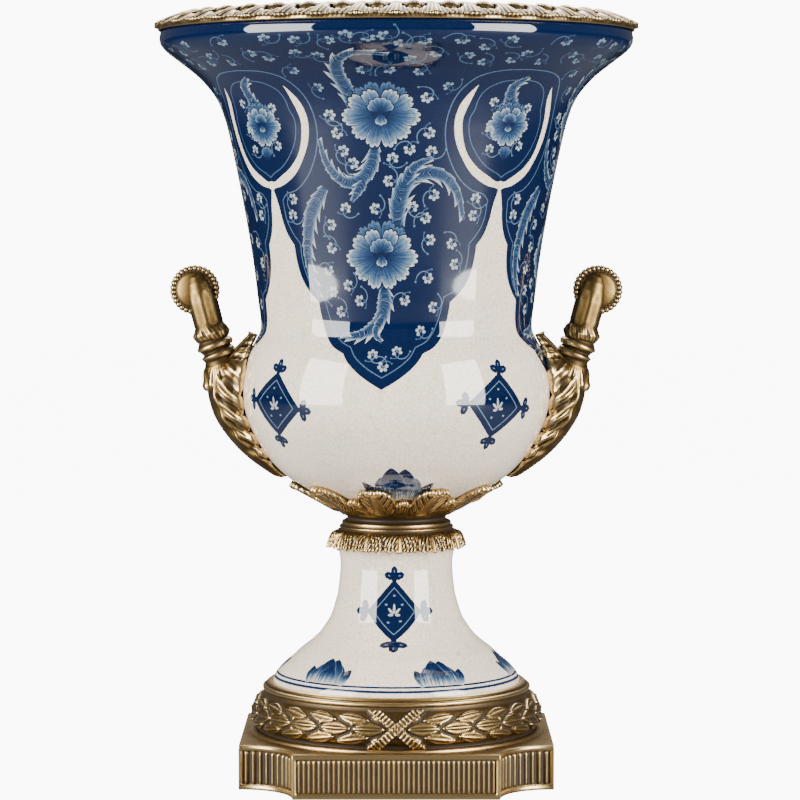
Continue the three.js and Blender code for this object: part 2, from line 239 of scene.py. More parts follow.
def petal(centre, angle, length, spread, lobes=3, pale=1.0):
    """A petal: a fan with a deep edge that parts it from its neighbours, washed from deep at the
    flower's middle to nearly bare at the scalloped rim, and combed with streaks that run outwards."""
    centre = np.asarray(centre, float)
    u = np.linspace(-1, 1, 4 * lobes + 1)

    def outline(share, grow=0.0):
        """The fan at a share of its reach, grown on all sides by a share of its length."""
        turn = angle + spread * u * (1 + grow)
        reach = share * reach_of(u, length, lobes) + grow * length
        tip = np.stack([reach * np.cos(turn), reach * np.sin(turn)], axis=1)
        return np.concatenate([np.zeros((1, 2)), tip]) + centre

    def wash(p):
        """Tone by the share of the reach, and streaks that run outwards, strongest half way."""
        away = p - centre
        turn = turn_of(away, angle)
        share = np.hypot(*away.T) / reach_of(np.clip(turn / spread, -1, 1), length, lobes)
        tone = np.interp(share, PETAL_STEPS, PETAL_TONES) * pale
        streak = 0.42 * np.clip(2.4 * share * (1.02 - share), 0, 1)
        return np.stack([tone, turn * length * 1.15, streak], axis=1)

    shapes = [(outline(1, PARTING), flat(0.0))]
    return shapes + [(outline(share), wash) for share in PETAL_STEPS[:0:-1]]


print("a petal of three lobes is", len(petal((0, 0), 0, 20, 0.3)), "outlines on top of one another")

# %% Scroll leaves
LEAF_SHARES = [0, 0.45, 0.8, 1.0, 1.3]             # shares of a leaf's half-width
LEAF_TONES = [0.06, 0.17, 0.36, 0.62, 0.82]        # paint left off at those shares


def leaf(points, width, teeth=6, side=1):
    """A scroll leaf: a band along a spine that thins to its tip, with barbs on one edge that lean to
    the tip. The wash is mid-blue along the spine and pale at the edges, hatched at a slant."""
    spine = smooth_line(points, 1.3)
    along = run_along(spine)
    t = along / along[-1]
    half = width * np.minimum(1, 0.5 + 2.4 * t) * np.clip(1.04 - t, 0, 1) ** 0.6
    barb = 0.8 * width * ((t * teeth) % 1.0) ** 2.2 * np.clip(1.5 - t, 0, 1)
    small = 0.3 * width * ((t * teeth * 1.5 + 0.4) % 1.0) ** 2 * np.clip(1.2 - t, 0, 1)
    normal = outward(spine) * side
    lean = np.gradient(spine, axis=0)
    lean /= np.linalg.norm(lean, axis=1, keepdims=True)

    def outline(share):
        """The band and its barbs at a share of their width, on both sides of the spine."""
        outer = spine + normal * (half * share + barb * share)[:, None]
        outer = outer + lean * (1.3 * barb * share)[:, None]
        inner = spine - normal * (half * share + small * share)[:, None]
        inner = inner + lean * (small * share)[:, None]
        return np.concatenate([outer, inner[::-1]])

    def wash(p):
        """Tone by the distance from the spine, and streaks at a slant to it."""
        gap = np.linalg.norm(p[:, None, :] - spine[None, :, :], axis=2)
        near = gap.argmin(axis=1)
        off = gap.min(axis=1)
        share = np.clip(off / np.maximum(half[near], 0.6), 0, 1.3)
        tone = np.interp(share, LEAF_SHARES, LEAF_TONES)
        return np.stack([tone, 2.3 * along[near] - 2.6 * off, 0.5 - 0.25 * share], axis=1)

    return [(outline(share), wash) for share in (1.0, 0.4)]


print("a leaf 30 mm long has", len(leaf([(0, 0), (15, 5), (30, 0)], 4)[0][0]), "points in its outline")

# %% Tendrils and sprigs
def tendril(centre, angle, curl, reach, width, tone):
    """A thin line that leaves a place at an angle, curls as it goes out and ends in a dot."""
    t = np.linspace(0, 1, 8)
    turn = angle + curl * t
    away = 0.8 + reach * t**0.9
    line = centre + np.stack([away * np.cos(turn), away * np.sin(turn)], axis=1)
    return stroke(line, width, tone, step=1.8) + disc(line[-1], 0.8 * width + 0.25, tone)


def sprig(centre, angle, size=1.0, tone=0.8, dabs=5):
    """A sprig: round dabs in a fan about a smaller one, with two tendrils curling away under it."""
    centre = np.asarray(centre, float)
    shapes = tendril(centre, angle + np.pi - 1.1, 2.5, 7.2 * size, 0.6 * size, tone * 0.72)
    shapes += tendril(centre, angle + np.pi + 1.0, -1.9, 4.6 * size, 0.5 * size, tone * 0.6)
    for k in range(dabs):
        heading = angle + (k - (dabs - 1) / 2) * 1.02
        place = centre + 2.2 * size * np.array([math.cos(heading), math.sin(heading)])
        shapes += disc(place, 1.04 * size, tone, stretch=1.15, angle=heading)
    return shapes + disc(centre, 0.62 * size, tone * 0.8)


print("a sprig is", len(sprig((0, 0), 0.0)), "brush shapes")

# %% Flowers
def flower(centre, size):
    """A peony seen half from the front: a row of four petals behind, ten around, then a small cup
    petal and a pale heart. Sizes are shares of its half-width."""
    c = np.asarray(centre, float)
    shapes = []
    for degrees, length in ((52, 1.0), (128, 1.0), (76, 1.02), (104, 1.02)):
        shapes += petal(c, math.radians(degrees), size * length, 0.24, 3, pale=0.62)
    ring = ((30, 0.96, 0.3, 3), (150, 0.96, 0.3, 3), (64, 0.8, 0.36, 4), (116, 0.8, 0.36, 4),
            (-36, 0.94, 0.36, 4), (-144, 0.94, 0.36, 4), (-72, 0.92, 0.3, 3), (-108, 0.92, 0.3, 3),
            (-3, 1.07, 0.3, 4), (183, 1.07, 0.3, 4))
    for degrees, length, spread, lobes in ring:
        shapes += petal(c, math.radians(degrees), size * length, spread, lobes)
    shapes += disc(c + (0, 0.1 * size), 0.24 * size, 0.03, stretch=1.15)
    shapes += petal(c + (0, 0.06 * size), math.radians(90), size * 0.44, 1.3, 6, pale=0.9)
    shapes += disc(c - (0, 0.04 * size), 0.16 * size, 0.02, stretch=1.2)
    shapes += petal(c + (0, 0.08 * size), math.radians(-90), size * 0.36, 0.62, 3)
    return shapes


print("a flower is", len(flower((0, 0), 20)), "brush shapes")

# %% Moving shapes
def reshaped(shapes, forward, back):
    """The shapes with their outlines changed by one function. Their shading stays in step, because
    it is asked at the place that the inverse function gives."""
    def in_step(shade):
        """The shading, asked at the place before the change."""
        return lambda p: shade(back(p))

    return [(forward(outline), in_step(shade)) for outline, shade in shapes]


def widened(shapes, x, share):
    """The shapes made wider by a share about an upright line."""
    def wide(points):
        """Distances from the upright line times the share."""
        return np.stack([x + (points[:, 0] - x) * share, points[:, 1]], axis=1)

    def unwide(points):
        """Distances from the upright line divided by the share."""
        return np.stack([x + (points[:, 0] - x) / share, points[:, 1]], axis=1)

    return reshaped(shapes, wide, unwide)


def bent(points, corners, step=1.6):
    """An outline that is smooth between its corner points, which stay sharp."""
    cuts = [0, *corners, len(points) - 1]
    pieces = [smooth_line(points[a:b + 1], step) for a, b in zip(cuts[:-1], cuts[1:]) if b > a]
    return np.concatenate([piece[:-1] for piece in pieces] + [pieces[-1][-1:]])


wide_dab = widened(disc((0, 0), 1.0, 0.5), 0, 3.0)[0][0]
print(f"a dab made three times as wide measures {np.ptp(wide_dab[:, 0]):.1f} mm")

# %% Cutting a sheet along the shapes
def counter_clockwise(outline):
    """The outline in the order that has its inside on the left: its signed area is above zero."""
    x, y = outline.T
    area = np.sum(x * np.roll(y, -1) - y * np.roll(x, -1))
    return outline if area > 0 else outline[::-1]


def cut_sheet(shapes, width, length, across, down):
    """Triangles over a flat sheet, cut along every outline. Each takes the shading of the topmost
    shape that covers it. Returns places, triangles and three numbers for each corner."""
    left, right = -width / 2, width / 2
    columns = np.linspace(left, right, across + 1)
    loose = np.stack(np.meshgrid(columns, down), axis=-1).reshape(-1, 2)
    border = [(left, 0), (right, 0), (right, length), (left, length)]
    outlines = [np.array(border, float)] + [counter_clockwise(outline) for outline, shade in shapes]
    starts = np.concatenate([[0], np.cumsum([len(o) for o in outlines])])
    rings = [list(range(a, b)) for a, b in zip(starts[:-1], starts[1:])]
    places = [Vector(p) for p in np.concatenate(outlines + [loose]).tolist()]
    made = delaunay_2d_cdt(places, [], rings, 0, 1e-4)
    flat_places = np.array([tuple(v) for v in made[0]])
    covers = made[5]
    keep = np.array([bool(c) and 0 in c for c in covers])
    triangles = np.array(made[2])[keep]
    top = np.array([max(c) if c else 0 for c in covers])[keep]
    corner_place = flat_places[triangles.reshape(-1)]
    corner_top = np.repeat(top, 3)
    shading = np.zeros((len(corner_top), 3))
    for number, (outline, shade) in enumerate(shapes, start=1):
        own = np.flatnonzero(corner_top == number)
        if len(own):
            shading[own] = shade(corner_place[own])
    bare = corner_top == 0
    shading[bare] = (1.0, 0.0, 0.0)
    return flat_places, triangles, shading


print("counter-clockwise outlines are kept:", counter_clockwise(wide_dab) is wide_dab)

# %% Rows and points of a turned body
def row_places(line, rows, step):
    """Where the sheet's rows lie along an outline: a step apart on average, and closer where the
    outline bends, by a pace that grows with the change of its direction for each millimetre."""
    run = run_along(line)
    first, last = rows
    bend = np.abs(np.gradient(np.unwrap(np.arctan2(*outward(line).T)), run))
    pace = np.cumsum(np.clip(0.25 + 4.5 * bend, 0.25, 1.2))
    count = int(round((run[last] - run[first]) / step))
    down = np.interp(np.linspace(pace[first], pace[last], count), pace, run)
    down[[0, -1]] = run[first], run[last]
    return down


def turned(line, turns, places):
    """Points and exact normals of a turned surface, at angles and at places along its outline."""
    run = run_along(line)
    side = outward(line)
    radius = np.interp(places, run, line[:, 0])
    height = np.interp(places, run, line[:, 1])
    tilt = np.stack([np.interp(places, run, side[:, i]) for i in (0, 1)], axis=1)
    tilt /= np.linalg.norm(tilt, axis=1, keepdims=True)
    sine, cosine = np.sin(turns), np.cos(turns)
    points = np.stack([radius * sine, -radius * cosine, height], axis=1)
    return points, np.stack([tilt[:, 0] * sine, -tilt[:, 0] * cosine, tilt[:, 1]], axis=1)


BOWL_STEP = 3.3                  # mean distance of the bowl's rows, in millimetres
paint_row = int(np.searchsorted(bowl_line[:lip_row, 0], PAINT_START))
bowl_rows = (paint_row, int(np.argmax(bowl_line[:, 1])))
print("the bowl's sheet has", len(row_places(bowl_line, bowl_rows, BOWL_STEP)), "rows")

# %% A turned body from a sheet
def turned_skin(line, shapes, cells, middle, rows, across, step, name, node):
    """A turned porcelain body: the painted sheet, repeated around the axis from a middle in degrees,
    between two rows of the outline, and a plain grid for the rest of the outline. Every point lies on
    the outline's turned surface and gets that surface's exact normal."""
    run = run_along(line)
    first, last = rows
    start = run[first]
    offset = math.radians(middle)
    cell = 2 * np.pi / cells
    down = row_places(line, rows, step)
    sheet = reshaped(shapes, lambda p: p - (0, start), lambda p: p + (0, start))
    flat_places, triangles, shading = cut_sheet(
        sheet, cell * PAINT_RADIUS, run[last] - start, across, down - start)
    parts, part_faces, count = [], [], 0
    for k in range(cells):
        turn = flat_places[:, 0] / PAINT_RADIUS + offset + 2 * np.pi * k / cells
        parts.append(np.stack([turn, flat_places[:, 1] + start], axis=1))
        part_faces.append(triangles + count)
        count += len(flat_places)
    sheet_corners = sum(len(f) for f in part_faces) * 3
    turns = offset + (np.arange(cells * across) / across - 0.5) * 2 * np.pi / cells
    for plain in (np.r_[0:first:4, first], np.r_[last:len(line) - 1:6, len(line) - 1]):
        if len(plain) > 1:
            quads = grid_faces(len(plain), len(turns))
            parts.append(np.stack(np.meshgrid(turns, run[plain]), axis=-1).reshape(-1, 2))
            part_faces.append(np.concatenate([quads[:, [0, 1, 2]], quads[:, [0, 2, 3]]]) + count)
            count += len(parts[-1])
    flat_all = np.concatenate(parts)
    points, normals = turned(line, flat_all[:, 0], flat_all[:, 1])
    index, inverse = np.unique(
        np.round(points, 3), axis=0, return_index=True, return_inverse=True)[1:]
    faces = inverse.reshape(-1)[np.concatenate(part_faces)]
    whole = (faces != np.roll(faces, 1, axis=1)).all(axis=1)
    corners = np.zeros((len(faces) * 3, 3))
    corners[:, 0] = 1.0
    corners[:sheet_corners] = np.tile(shading, (cells, 1))
    corners = corners.reshape(-1, 3, 3)[whole].reshape(-1, 3)
    values = dict(zip(("tone", "stripe", "streak"), corners.T))
    return make_piece(name, points[index], faces[whole], node, values, normals[index])


print(f"one quarter of the bowl is {math.radians(CELL) * PAINT_RADIUS:.1f} mm of the sheet")

# %% [markdown]
# ## The front panel and its repeats
# Four long blue panels hang from the lip like lappets, each with two flowers joined by scrolling
# leaves, and half-round frames stand between them. Each panel could be drawn afresh, as a painter
# does, but the photo shows one, so that one is drawn and repeated around the axis. The places below
# are degrees from the middle of the panel and heights in millimetres.

# %% Panel frames
PANEL_EDGE = [(0, 240.3), (4.5, 244.6), (9.6, 250.5), (13.6, 256.8), (15.4, 261), (20, 264.6),
              (24, 271), (26.3, 281), (27.3, 291), (31.4, 296.8), (34.8, 304.6), (36.6, 314),
              (37.2, 324), (40, 330.2), (41.8, 338), (42.9, 347.5), (44.4, 356)]
PANEL_LINE = [(0, 247.2), (5.6, 252.6), (10.4, 259), (12.7, 264.6), (17.2, 268), (20.6, 274),
              (23, 283.5), (24.4, 293.8), (29.6, 298.6), (32.4, 307), (33.8, 316), (33.9, 325),
              (36.9, 330.6), (39.4, 338.5), (40.2, 350.2), (37.9, 353.8), (32.8, 356.3),
              (27.4, 363.6), (23.2, 376), (21.6, 388), (22, 399.4), (23.8, 409.4), (26.6, 416.8),
              (30, 421.6), (36, 424.6), (45, 425.6)]
CRESCENT = [(45, 355.4), (43.6, 357.2), (39.3, 358.8), (32.7, 365), (28.4, 374), (25.2, 385.4),
            (24.5, 396.4), (25.7, 405.2), (27.8, 411.2), (30.4, 416.6), (29.2, 408.4),
            (28, 402.4), (27.2, 396.4), (28, 385.6), (30.1, 376.8), (34.4, 369.2), (39.2, 364.4),
            (43.4, 361), (45, 361.6)]
FRAME_LINE = [(45, 363.6), (43.2, 365.6), (38.4, 369.4), (34.8, 374.4), (31.2, 382.8), (29.7, 391),
              (29.7, 397.6), (31, 402.8), (31.6, 408.4), (33.4, 414), (38, 418.4), (45, 420)]

seam = math.radians(CELL / 2) * PAINT_RADIUS
top_run = bowl_run[bowl_rows[1]] + 0.5


def both_sides(shapes):
    """The shapes and their mirror images across the middle of the panel."""
    return shapes + reshaped(shapes, lambda p: (p * (-1, 1))[::-1], lambda p: p * (-1, 1))


def half_line(marks, corners):
    """The right half of a panel's outline, smooth between its corners, and its mirror image."""
    half = bent(to_plane(marks), corners)
    return np.concatenate([half[::-1], half[1:] * (-1, 1)])


edge = half_line(PANEL_EDGE, (4, 8, 12))
edge = np.concatenate([edge[:1] * (0, 1) + (seam, 0), edge, edge[-1:] * (0, 1) - (seam, 0)])
panel = [(np.concatenate([edge, [(-seam, top_run), (seam, top_run)]]), flat(0.0))]
panel += stroke(half_line(PANEL_LINE, (3, 7, 11, 14)), 0.62, 0.55, taper=False, smooth=False)
frame_parts = [(bent(to_plane(CRESCENT), (9,)), flat(0.99))]
frame_parts += stroke(to_plane(FRAME_LINE), 0.6, 0.5, taper=False)
panel += both_sides(frame_parts)
print(f"{len(edge)} points in the panel's edge, {len(panel)} shapes in its frames")

# %% [markdown]
# ## Flowers, scroll leaves and sprigs
# The leaves grow out of one another in an S through the panel. Each is given by a few marks on
# its spine. Small sprigs fill what is left of the blue. Under the lip they are smaller and are
# painted fainter, nearer the blue, as painted reflection of the dusky band that the glaze mirrors
# there. They could be strewn by chance, but would then cross the flowers, so each has a given place
# and only its turn is drawn at random.

# %% Flowers and leaves
FLOWER_SIZE = 21.5
LEAVES = [                       # marks on a spine, the half-width, the teeth and their side
    ([(-1.6, 382), (-3.0, 371), (-6.7, 362.4), (-11.9, 360.3), (-16.6, 365.5), (-19.6, 374),
      (-21.2, 386)], 4.4, 8, 1),
    ([(-6, 361), (-8.6, 354.6), (-10.6, 349.4)], 3.4, 3, 1),
    ([(-20.6, 357.5), (-24.2, 350.4), (-27.4, 342.4), (-29.8, 330), (-30.9, 318), (-29.8, 306),
      (-26.4, 293)], 5.0, 8, -1),
    ([(6.9, 331), (5.6, 341), (6.6, 352), (9.6, 362.6), (16, 366.4), (22.6, 363.6), (27.6, 354),
      (30.6, 339)], 5.4, 8, 1),
    ([(8.2, 360), (11.6, 369.4), (17.6, 374.8)], 3.6, 3, 1),
    ([(0.2, 301), (0.8, 291.4), (-0.9, 281.6), (-5.2, 275), (-11, 271.4), (-17.8, 271.6)],
     5.0, 8, -1),
    ([(0.2, 283), (-3.2, 272.8), (-0.4, 267.6)], 3.0, 3, -1),
    ([(-8.8, 403.6), (-9.6, 413.6), (-11.2, 422.4), (-10, 430), (-5.6, 433.4), (3.4, 432.6)],
     4.2, 8, -1),
]

for marks, leaf_width, teeth, leaf_side in LEAVES:
    panel += leaf(to_plane(marks), leaf_width, teeth, leaf_side)
upper, lower, between = to_plane([(0.4, 399), (-0.2, 317.6), (45, 394)])
panel += widened(flower(upper, FLOWER_SIZE), upper[0], PAINT_RADIUS / 103)
panel += flower(lower, FLOWER_SIZE)
print(f"{len(panel)} shapes with the leaves and flowers")

# %% Sprigs
rng = np.random.default_rng(7)
SPRIGS = [
    (14.8, 409), (16.2, 389), (9.8, 379.6), (4.1, 374.4), (17.2, 378.4), (16.1, 340), (18, 327.3),
    (17.7, 305.1), (8.7, 292.2), (20.2, 288), (15.2, 274), (5.6, 262.4), (-3.6, 260.4),
    (-13.8, 300.7), (-9.2, 291.8), (-17.4, 285.2), (-20.4, 296.8), (-21.8, 309.5), (-19.8, 322.5),
    (-19.4, 336), (-13.2, 345.6), (-16.4, 399.3), (-14.4, 388.9), (-12.7, 378.8), (-9.5, 371.6),
    (2.8, 361.4), (-2.2, 345.4), (18.8, 353.3), (26.6, 325), (28.4, 313), (34.6, 341.4),
    (-36, 341.4), (-35, 351), (11.2, 346.5), (0.4, 253.8), (35, 351.4),
]
SMALL_SPRIGS = [
    (-18.9, 440.7), (-10.8, 440.2), (-1.2, 441.5), (-14.8, 432.4), (-20.6, 434), (-24.3, 424.6),
    (6.4, 438.5), (12, 439.8), (15.4, 433), (20.9, 440.2), (23.8, 432.3), (28.8, 429), (-4, 424.4),
    (3.4, 424.4), (9, 430.4), (11.8, 423.4), (-18.6, 415), (21, 415.4), (-26.8, 441.9), (33.4, 441),
    (-40.4, 441), (40, 434), (-34, 434.4), (-44, 430), (27.4, 437), (36.8, 430.4), (-29.4, 431.6),
    (-6.4, 443), (2.6, 442.4),
]

for mark, turn in zip(to_plane(SPRIGS), rng.uniform(0, 2 * math.pi, len(SPRIGS))):
    panel += sprig(mark, turn, 1.05)
# Under the lip the sprigs are painted fainter, tone 0.66: painted reflection of the dusky band that the
# glaze mirrors there.
for mark, turn in zip(to_plane(SMALL_SPRIGS), rng.uniform(0, 2 * math.pi, len(SMALL_SPRIGS))):
    panel += sprig(mark, turn, 0.95, tone=0.66, dabs=4)
print(f"{len(SPRIGS)} sprigs and {len(SMALL_SPRIGS)} small ones under the lip")

# %% Middle of the half-round frames
framed = petal(to_plane([(45, 373)])[0], math.pi / 2, 9, 0.75, 5, pale=0.7)
framed += leaf(to_plane([(45, 402), (43.2, 409.5), (42.8, 416), (46.8, 421.6)]), 4.4, 5, 1)
framed += flower(between, FLOWER_SIZE * 0.66)
for mark in to_plane([(38.4, 380), (37.4, 407), (52, 404), (51.4, 382), (37.6, 391)]):
    framed += sprig(mark, float(rng.uniform(0, 6)), 0.9)


def at_both_seams(shapes):
    """Shapes that lie across a seam, drawn at the right edge of the sheet and at the left one."""
    step = np.array([2 * seam, 0])
    return shapes + reshaped(shapes, lambda p: p - step, lambda p: p + step)


panel += at_both_seams(framed)
print(f"{len(panel)} brush shapes in a panel")

# %% [markdown]
# ## Belly motifs
# On the pale belly a pointed blue lozenge stands under each half-round frame, and a lotus bud rises
# from the collar between them. They could be decals on meshes of their own, which would catch the
# light at their edges. The same helpers as above, with dark tones, cut them into the one glaze.

# %% Lozenge
HOLLOW_SIDES = 1.9               # power of cosine and sine: 2 gives straight sides


def lozenge(centre, half_width, half_height, lean=0.0):
    """A blue lozenge turned by an angle, with slightly hollow sides, a pale line inside its edge, a
    pale sprig at its heart and a blue trefoil with pale slits on each corner."""
    t = np.linspace(0, 2 * np.pi, 24, endpoint=False)
    leaning = np.array([[math.cos(lean), math.sin(lean)], [-math.sin(lean), math.cos(lean)]])
    size = np.array([half_width, half_height])
    star = np.stack([np.sign(np.cos(t)) * np.abs(np.cos(t)) ** HOLLOW_SIDES,
                     np.sign(np.sin(t)) * np.abs(np.sin(t)) ** HOLLOW_SIDES], axis=1)
    star = star * size @ leaning
    shapes = []
    for dx, dy in ((0, 1), (0, -1), (1, 0), (-1, 0)):
        out = np.array([dx, dy]) @ leaning
        tip = centre + (size * (dx, dy)) @ leaning
        angle = math.atan2(out[1], out[0])
        for fan_out in (-1.25, 1.25, 0):
            heading = np.array([math.cos(angle + fan_out), math.sin(angle + fan_out)])
            place = tip + 1.0 * out + 3.4 * heading
            shapes += disc(place, 2.5, 0.02, stretch=1.55, angle=angle + fan_out)
            shapes += disc(place + 0.4 * heading, 0.5, 0.6, stretch=2.0, angle=angle + fan_out)
        shapes += disc(tip, 1.9, 0.02)
    shapes += [(centre + star, flat(0.0))]
    ring = np.concatenate([star * 0.76, star[:1] * 0.76, star[:1] * 0.72, star[::-1] * 0.72])
    shapes += [(centre + ring, flat(0.62)), (centre + star * 0.68, flat(0.0))]
    for k, length in enumerate((1.0, 0.8, 0.8, 0.55, 0.55)):
        angle = math.pi / 2 - lean + (0, 0.75, -0.75, 1.6, -1.6)[k]
        heading = np.array([math.cos(angle), math.sin(angle)])
        start = centre - (0, 0.1 * half_height)
        shapes += disc(start + heading * 0.2 * half_height * length, 0.8, 0.85,
                       stretch=0.2 * half_height * length, angle=angle)
    for dx, dy in ((0.3, 0.22), (-0.3, 0.22), (0.22, -0.3), (-0.2, -0.34), (0, 0.5)):
        shapes += disc(centre + size * (dx, dy), 0.7, 0.7, stretch=1.4, angle=dx)
    return shapes


print("a lozenge is", len(lozenge(np.zeros(2), 20, 20)), "brush shapes")

# %% Lotus
LOTUS_PETALS = [                 # place, lean, length and half-width of each, from back to front
    (-0.33, 0.42, 0.68, 0.12), (0.33, -0.42, 0.66, 0.12), (-0.2, 0.12, 0.76, 0.19),
    (0.2, -0.12, 0.74, 0.19), (0.08, -0.02, 0.97, 0.24), (-0.08, 0.03, 1.0, 0.24), (0, 0, 0.7, 0.2),
]


def lotus_petal(foot, angle, length, half_width):
    """One petal: an egg pointed at its tip, whose half-width is the root of a sine along it. Its
    wash is deep at the tip and fades through combed strokes to bare glaze at the foot."""
    along = np.array([math.cos(angle), math.sin(angle)])
    across = np.array([-along[1], along[0]])

    def outline(level, grow=1.0):
        """The part of the egg from a share of its length up to the tip."""
        t = np.linspace(level, 1, 8)
        half = grow * half_width * np.sin(np.pi * np.clip(0.28 + 0.72 * t, 0, 1)) ** 0.7
        line = foot + t[:, None] * length * along
        side = half[:, None] * across
        return np.concatenate([line - side, (line + side)[::-1]])

    def wash(p):
        """Tone by the share of the length, and streaks along the petal that end at the tip."""
        t = np.clip((p - foot) @ along / length, 0, 1)
        tone = np.interp(t, [0, 0.3, 0.6, 1], [0.8, 0.5, 0.16, 0.0])
        return np.stack([tone, (p - foot) @ across * 1.5, 0.55 * (1 - t)], axis=1)

    return [(outline(0.5, 1.1), flat(0.55))] + [(outline(level), wash) for level in (0, 0.3, 0.6, 0.8)]


def lotus(base, width, height):
    """A lotus bud: two outer petals, four behind and a short broad one in front."""
    shapes = []
    for place, lean, length, wide in LOTUS_PETALS:
        foot = np.asarray(base, float) + (place * width, 0)
        shapes += lotus_petal(foot, math.pi / 2 + lean, height * length, wide * width)
    return shapes


print("a lotus bud is", len(lotus((0, 0), 30, 30)), "brush shapes")

# %% The painted bowl
PANELS = 4
BOWL_ACROSS = 28                 # columns of the plain grid in one panel
belly = to_plane([(45, 229.6), (6.3, 173)])
panel += at_both_seams(lozenge(belly[0], 22, 20, lean=-0.1))
panel += widened(lotus(belly[1], 34, 34), belly[1][0], PAINT_RADIUS / 66)

bowl = turned_skin(bowl_line, panel, PANELS, PATTERN_CENTRE, bowl_rows, BOWL_ACROSS, BOWL_STEP,
                   "bowl_skin", "bowl")

# %% [markdown]
# ## The trumpet foot
# The foot was thrown apart from the bowl and is joined to it inside the collar. It is pale, with a
# long blue lozenge front and back, lotus buds around its spreading edge and two blue lines under
# them. It could be plain with a painted texture, but would blur beside the bowl, so it is cut from
# a sheet by the same function. Here one sheet goes all around, because the motifs don't repeat alike.

# %% Foot outline
FOOT_OUTSIDE = [
    (75.2, 54.6), (75.6, 57), (74.6, 60.6), (69.8, 66.5), (64, 71.4), (58.8, 76.4), (52.4, 81.3),
    (47.2, 86.2), (43.6, 91.2), (40.5, 96.1), (38.7, 101), (37.2, 106), (35.9, 111), (35, 118),
    (34.3, 126), (34.4, 132), (35.6, 139), (35.4, 144), (34, 147.2), (32, 148),
]
FOOT_INSIDE = [(28.6, 147.6), (28, 143), (29, 125), (32.4, 102), (48, 77.6), (66, 61), (69.4, 54.6)]
foot_line = smooth_line(FOOT_OUTSIDE + FOOT_INSIDE, 0.4)
foot_top = int(np.argmax(foot_line[:, 1]))
foot_run = run_along(foot_line)


def foot_plane(marks):
    """Degrees around and height on the foot, in the drawing plane, from the lower edge up."""
    return to_plane(marks, foot_line, foot_top)


print(f"foot's outline {foot_run[-1]:.0f} mm long, narrowest {foot_line[:foot_top, 0].min():.1f} mm")

# %% Foot's painting
FOOT_MIDDLE = -67.4              # degrees to the sheet's middle: its seam then misses the motifs
FOOT_START = 3                   # row of the outline where the sheet begins
FOOT_ACROSS, FOOT_STEP = 96, 2.6
BLUE_LINES = [(59.8, 1.6), (62.4, 1.3)]            # height and thickness of each line
BUDS = 6
BUD_HEIGHT, BUD_RADIUS = 63.6, 66
LOZENGE_HEIGHT, LOZENGE_RADIUS = 103.6, 39

foot_half = math.pi * PAINT_RADIUS
foot_art = []
level_line = np.linspace(-foot_half, foot_half, 97)[:, None] * (1, 0)
for height, thick in BLUE_LINES:
    lower_edge = level_line + (0, foot_plane([(0, height)])[0, 1])
    foot_art += [(np.concatenate([lower_edge, lower_edge[::-1] + (0, thick)]), flat(0.2))]
for k in range(BUDS):
    mark = foot_plane([((k - 2.5) * 360 / BUDS, BUD_HEIGHT)])[0]
    foot_art += widened(lotus(mark, 29, 19), mark[0], PAINT_RADIUS / BUD_RADIUS)
for heading in (-2 - FOOT_MIDDLE, -182 - FOOT_MIDDLE):
    mark = foot_plane([(heading, LOZENGE_HEIGHT)])[0]
    foot_art += widened(lozenge(mark, 17.2, 19.5), mark[0], PAINT_RADIUS / LOZENGE_RADIUS)
foot_skin = turned_skin(foot_line, foot_art, 1, FOOT_MIDDLE, (FOOT_START, foot_top), FOOT_ACROSS,
                        FOOT_STEP, "foot_skin", "foot")

# %% [markdown]
# ## Relief in bronze
# The mounts were cast from carved models and then chased, so each leaf has ribs, rolled edges and
# dark hollows. They could be sculpted by hand. Here the relief is a formula of the distances
# around and across a piece, added along the surface's normal, so that it can be changed by one
# number. The same grids tell how far each point stands out from what is around it: that is where
# a real mount is rubbed bright, and the points that lie deep are where it stays dark. The bronze's
# colour follows them too, with painted highlight on edges and painted shade in hollows.

# %% Sections of relief
def rise(value, start, end):
    """Smooth step: 0 before the start, 1 after the end, and a cubic between them."""
    t = np.clip((value - start) / (end - start), 0, 1)
    return t * t * (3 - 2 * t)


def dome(x):
    """Half-round section: the root of 1 less the square of x, and 0 outside -1 to 1."""
    return np.sqrt(np.clip(1 - x * x, 0, 1))


def bump(x, width):
    """Bell-shaped rise: e to the power of less the square of x over the width."""
    return np.exp(-(x / width) ** 2)


def cells_around(turns, count, first=0.0):
    """Place in each of count equal parts of a turn, from -1 to 1, with 0 in their middles. The
    middle of one part lies at the first angle, in degrees."""
    return 2 * (((turns - math.radians(first)) * count / (2 * np.pi) + 0.5) % 1 - 0.5)


print("a rise half way:", rise(0.5, 0, 1), "and a dome there:", round(float(dome(0.5)), 3))

# %% Grids for castings
def spin(radius, height, turns):
    """Points at distances from the axis, at heights, and at angles from the front."""
    radius, height, turns = np.broadcast_arrays(radius, height, turns)
    return np.stack([radius * np.sin(turns), -radius * np.cos(turns), height], axis=-1)


def level_rows(marks, columns):
    """Radius and height of rows that are the same all around: two arrays of marks by columns."""
    marks = np.asarray(marks, float)
    return [np.repeat(marks[:, [i]], columns, axis=1) for i in (0, 1)]


print("a row of four points around:", np.round(spin(1, 0, np.arange(4) * np.pi / 2), 3).tolist())

# %% Relief on grids
def neighbour(grid, axis, steps, wraps):
    """The grid shifted by some steps: around where it wraps, and else held at its ends."""
    if wraps:
        return np.roll(grid, -steps, axis)
    at = np.clip(np.arange(grid.shape[axis]) + steps, 0, grid.shape[axis] - 1)
    return np.take(grid, at, axis)


def facing(grid, around, closed):
    """Outward normals of a grid: the cross product of its steps around and its steps along."""
    across = neighbour(grid, 1, 1, around) - neighbour(grid, 1, -1, around)
    along = neighbour(grid, 0, 1, closed) - neighbour(grid, 0, -1, closed)
    normal = np.cross(across, along)
    return normal / np.maximum(np.linalg.norm(normal, axis=2, keepdims=True), 1e-9)


def carve(grid, relief, around=True, closed=False):
    """Each point of a grid moved along its outward normal by the relief, in millimetres."""
    return grid + facing(grid, around, closed) * np.asarray(relief)[..., None]


